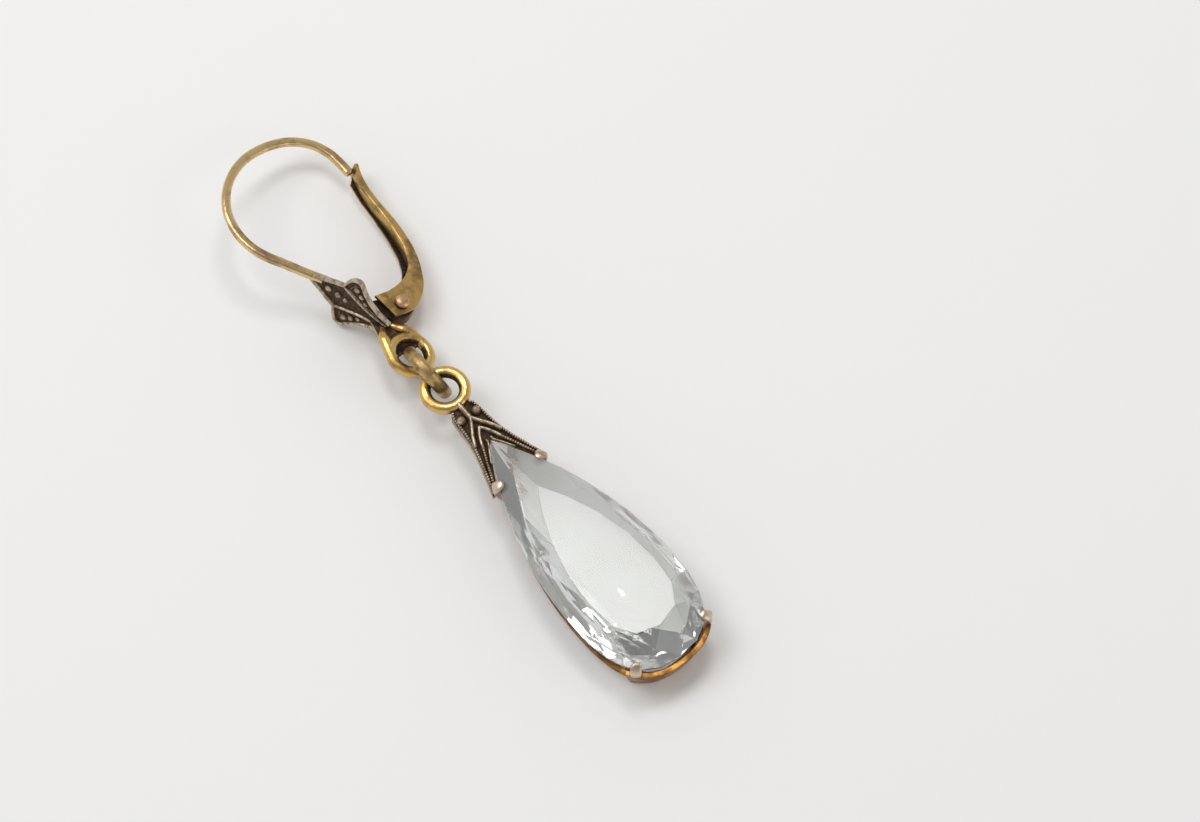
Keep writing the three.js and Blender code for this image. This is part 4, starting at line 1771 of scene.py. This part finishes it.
def settle_dirt_and_shade(pieces: Sequence[bpy.types.Object], reach: float = 0.8, rays: int = 10) -> None:
    """Stores how enclosed each point of the metal is, which the finishes turn into dirt and painted shade in
    corners and between parts.

    Args:
        pieces: The metal pieces.
        reach: How far a point looks for its neighbours, in millimetres.
        rays: How many directions it looks in.
    """
    points, faces = [], []
    for piece in pieces:
        start = len(points)
        points += [v.co for v in piece.data.vertices]
        faces += [[start + i for i in face.vertices] for face in piece.data.polygons]
    tree = BVHTree.FromPolygons(points, faces)
    golden = math.pi * (3 - math.sqrt(5))
    ways = []
    for i in range(rays):
        z = 1 - (i + 0.5) / rays
        flat = math.sqrt(1 - z * z)
        ways.append(Vector((flat * math.cos(golden * i), flat * math.sin(golden * i), z)))
    far = reach * MM
    for piece in pieces:
        mesh = piece.data
        layer = mesh.attributes.get("grime_and_shade") or mesh.attributes.new("grime_and_shade", "FLOAT", "POINT")
        values = np.zeros(len(mesh.vertices), np.float32)
        layer.data.foreach_get("value", values)
        up = Vector((0, 0, 1))
        for i, vertex in enumerate(mesh.vertices):
            turn = up.rotation_difference(vertex.normal)
            origin = vertex.co + vertex.normal * (RAY_START * MM)
            total = 0.0
            for way in ways:
                hit = tree.ray_cast(origin, turn @ way, far)
                if hit[3] is not None:
                    total += 1 - hit[3] / far
            # Close neighbours add painted shade in corners and between parts to the stored share.
            values[i] = min(1.0, values[i] * RELIEF_WEIGHT + total / rays * CORNER_WEIGHT)
        layer.data.foreach_set("value", values)


@dataclass
class Studio:
    """The pale table, the soft light and the camera.

    Args:
        aim: The point that the camera looks at, in millimetres.
        azimuth: The camera's turn round the object, in degrees.
        elevation: Its angle over the table, in degrees.
        distance: Its distance, in millimetres.
        width: Width of the picture at the aim point, in millimetres.
    """

    aim: np.ndarray
    azimuth: float = 50.7
    elevation: float = 66.0
    distance: float = 450.0
    width: float = 85.7

    TABLE_HALF = 0.6
    LAMP_DISTANCE = 420.0
    # Each lamp: its name, azimuth, elevation, width in millimetres and power in watts.
    LAMPS = (
        ("key light", 305.0, 58.0, 260.0, 0.56),
        ("table glow", 230.7, 66.0, 150.0, 0.4),
        ("fill light", 120.0, 35.0, 300.0, 0.2),
    )

    def back(self, azimuth: float, elevation: float) -> Vector:
        """Returns the direction from the aim point out to a viewer.

        Args:
            azimuth: The turn round the object, in degrees.
            elevation: The angle over the table, in degrees.

        Returns:
            The unit direction.
        """
        a, e = math.radians(azimuth), math.radians(elevation)
        return Vector((math.sin(a) * math.cos(e), -math.cos(a) * math.cos(e), math.sin(e)))

    def camera(self) -> None:
        """Sets up the camera."""
        data = bpy.data.cameras.new("camera")
        data.sensor_width = 36.0
        data.lens = data.sensor_width * self.distance / self.width
        data.clip_start, data.clip_end = 0.01, 10.0
        camera = linked("camera", data)
        back = self.back(self.azimuth, self.elevation)
        camera.location = (Vector(self.aim) + back * self.distance) * MM
        camera.rotation_mode = "QUATERNION"
        camera.rotation_quaternion = (-back).to_track_quat("-Z", "Y")
        bpy.context.scene.camera = camera

    def lamp(self, name: str, azimuth: float, elevation: float, size: float, power: float) -> None:
        """Hangs one soft light.

        Args:
            name: Its name.
            azimuth: Its turn round the object, in degrees.
            elevation: Its angle over the table, in degrees.
            size: Its width, in millimetres.
            power: Its power, in watts.
        """
        data = bpy.data.lights.new(name, "AREA")
        data.shape = "DISK"
        data.size = size * MM
        data.energy = power
        lamp = linked(name, data)
        back = self.back(azimuth, elevation)
        lamp.location = (Vector(self.aim) + back * self.LAMP_DISTANCE) * MM
        lamp.rotation_mode = "QUATERNION"
        lamp.rotation_quaternion = back.to_track_quat("Z", "Y")

    def build(self) -> None:
        """Lays the table, hangs the lights and sets the camera."""
        bpy.context.scene.view_settings.view_transform = "Standard"
        mesh = bpy.data.meshes.new("table")
        signs = ((-1, -1), (1, -1), (1, 1), (-1, 1))
        corners = [(x * self.TABLE_HALF, y * self.TABLE_HALF, 0) for x, y in signs]
        mesh.from_pydata(corners, [], [(0, 1, 2, 3)])
        table = linked("table", mesh)
        mesh.materials.append(finish_of(PAPER))
        world = bpy.data.worlds.new("soft room")
        bpy.context.scene.world = world
        world.use_nodes = True
        tree = world.node_tree
        background = tree.nodes["Background"]
        way = add_node(tree, "ShaderNodeTexCoord").outputs["Generated"]
        height = add_node(tree, "ShaderNodeSeparateXYZ", {0: way}).outputs["Z"]
        overhead = ramp(tree, height, 0.35, 0.98)
        tent = mixed(tree, overhead, linear_colour("#FFFFFF"), linear_colour("#8E8A84"))
        tree.links.new(tent, background.inputs["Color"])
        background.inputs["Strength"].default_value = 0.7
        for lamp in self.LAMPS:
            self.lamp(*lamp)
        self.camera()


def main() -> None:
    """Builds the earring piece by piece."""
    logging.basicConfig(level=logging.INFO, format="%(message)s")
    ring_centre = node_centre("jump_ring")
    hook_place = turned_place(ring_centre + (-EYE_STEP, 0.0, -UPPER_EYE_DROP), HOOK_ROLL, HOOK_PITCH)
    drop_place = Place(ring_centre * (1, 1, 0) + (EYE_STEP, 0.0, 0.0), np.eye(3))
    hook = EarHook(hook_place)
    hinge_place = hook_place.moved(-hook.rivet[0], hook.rivet[1], 0.0)
    cut = Stone(drop_place)

    metal = hook.build()
    metal += Lever(hinge_place).build()
    metal += Rivet(hinge_place).build()
    ring = JumpRing(ring_centre).build()
    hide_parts("jump_ring")
    dress(ring, "root", Slot.RING, RING_GOLD)
    metal.append(ring)
    metal += Setting(drop_place, cut).build()
    stone = cut.build()
    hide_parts("stone")
    dress(stone, "root", Slot.STONE, STONE_FINISH)
    settle_dirt_and_shade(metal)
    for piece in metal + [stone]:
        log.info("%s: %d faces", piece.name, len(piece.data.polygons))
    Studio(ring_centre + PICTURE_MIDDLE).build()


if __name__ == "__main__":
    main()
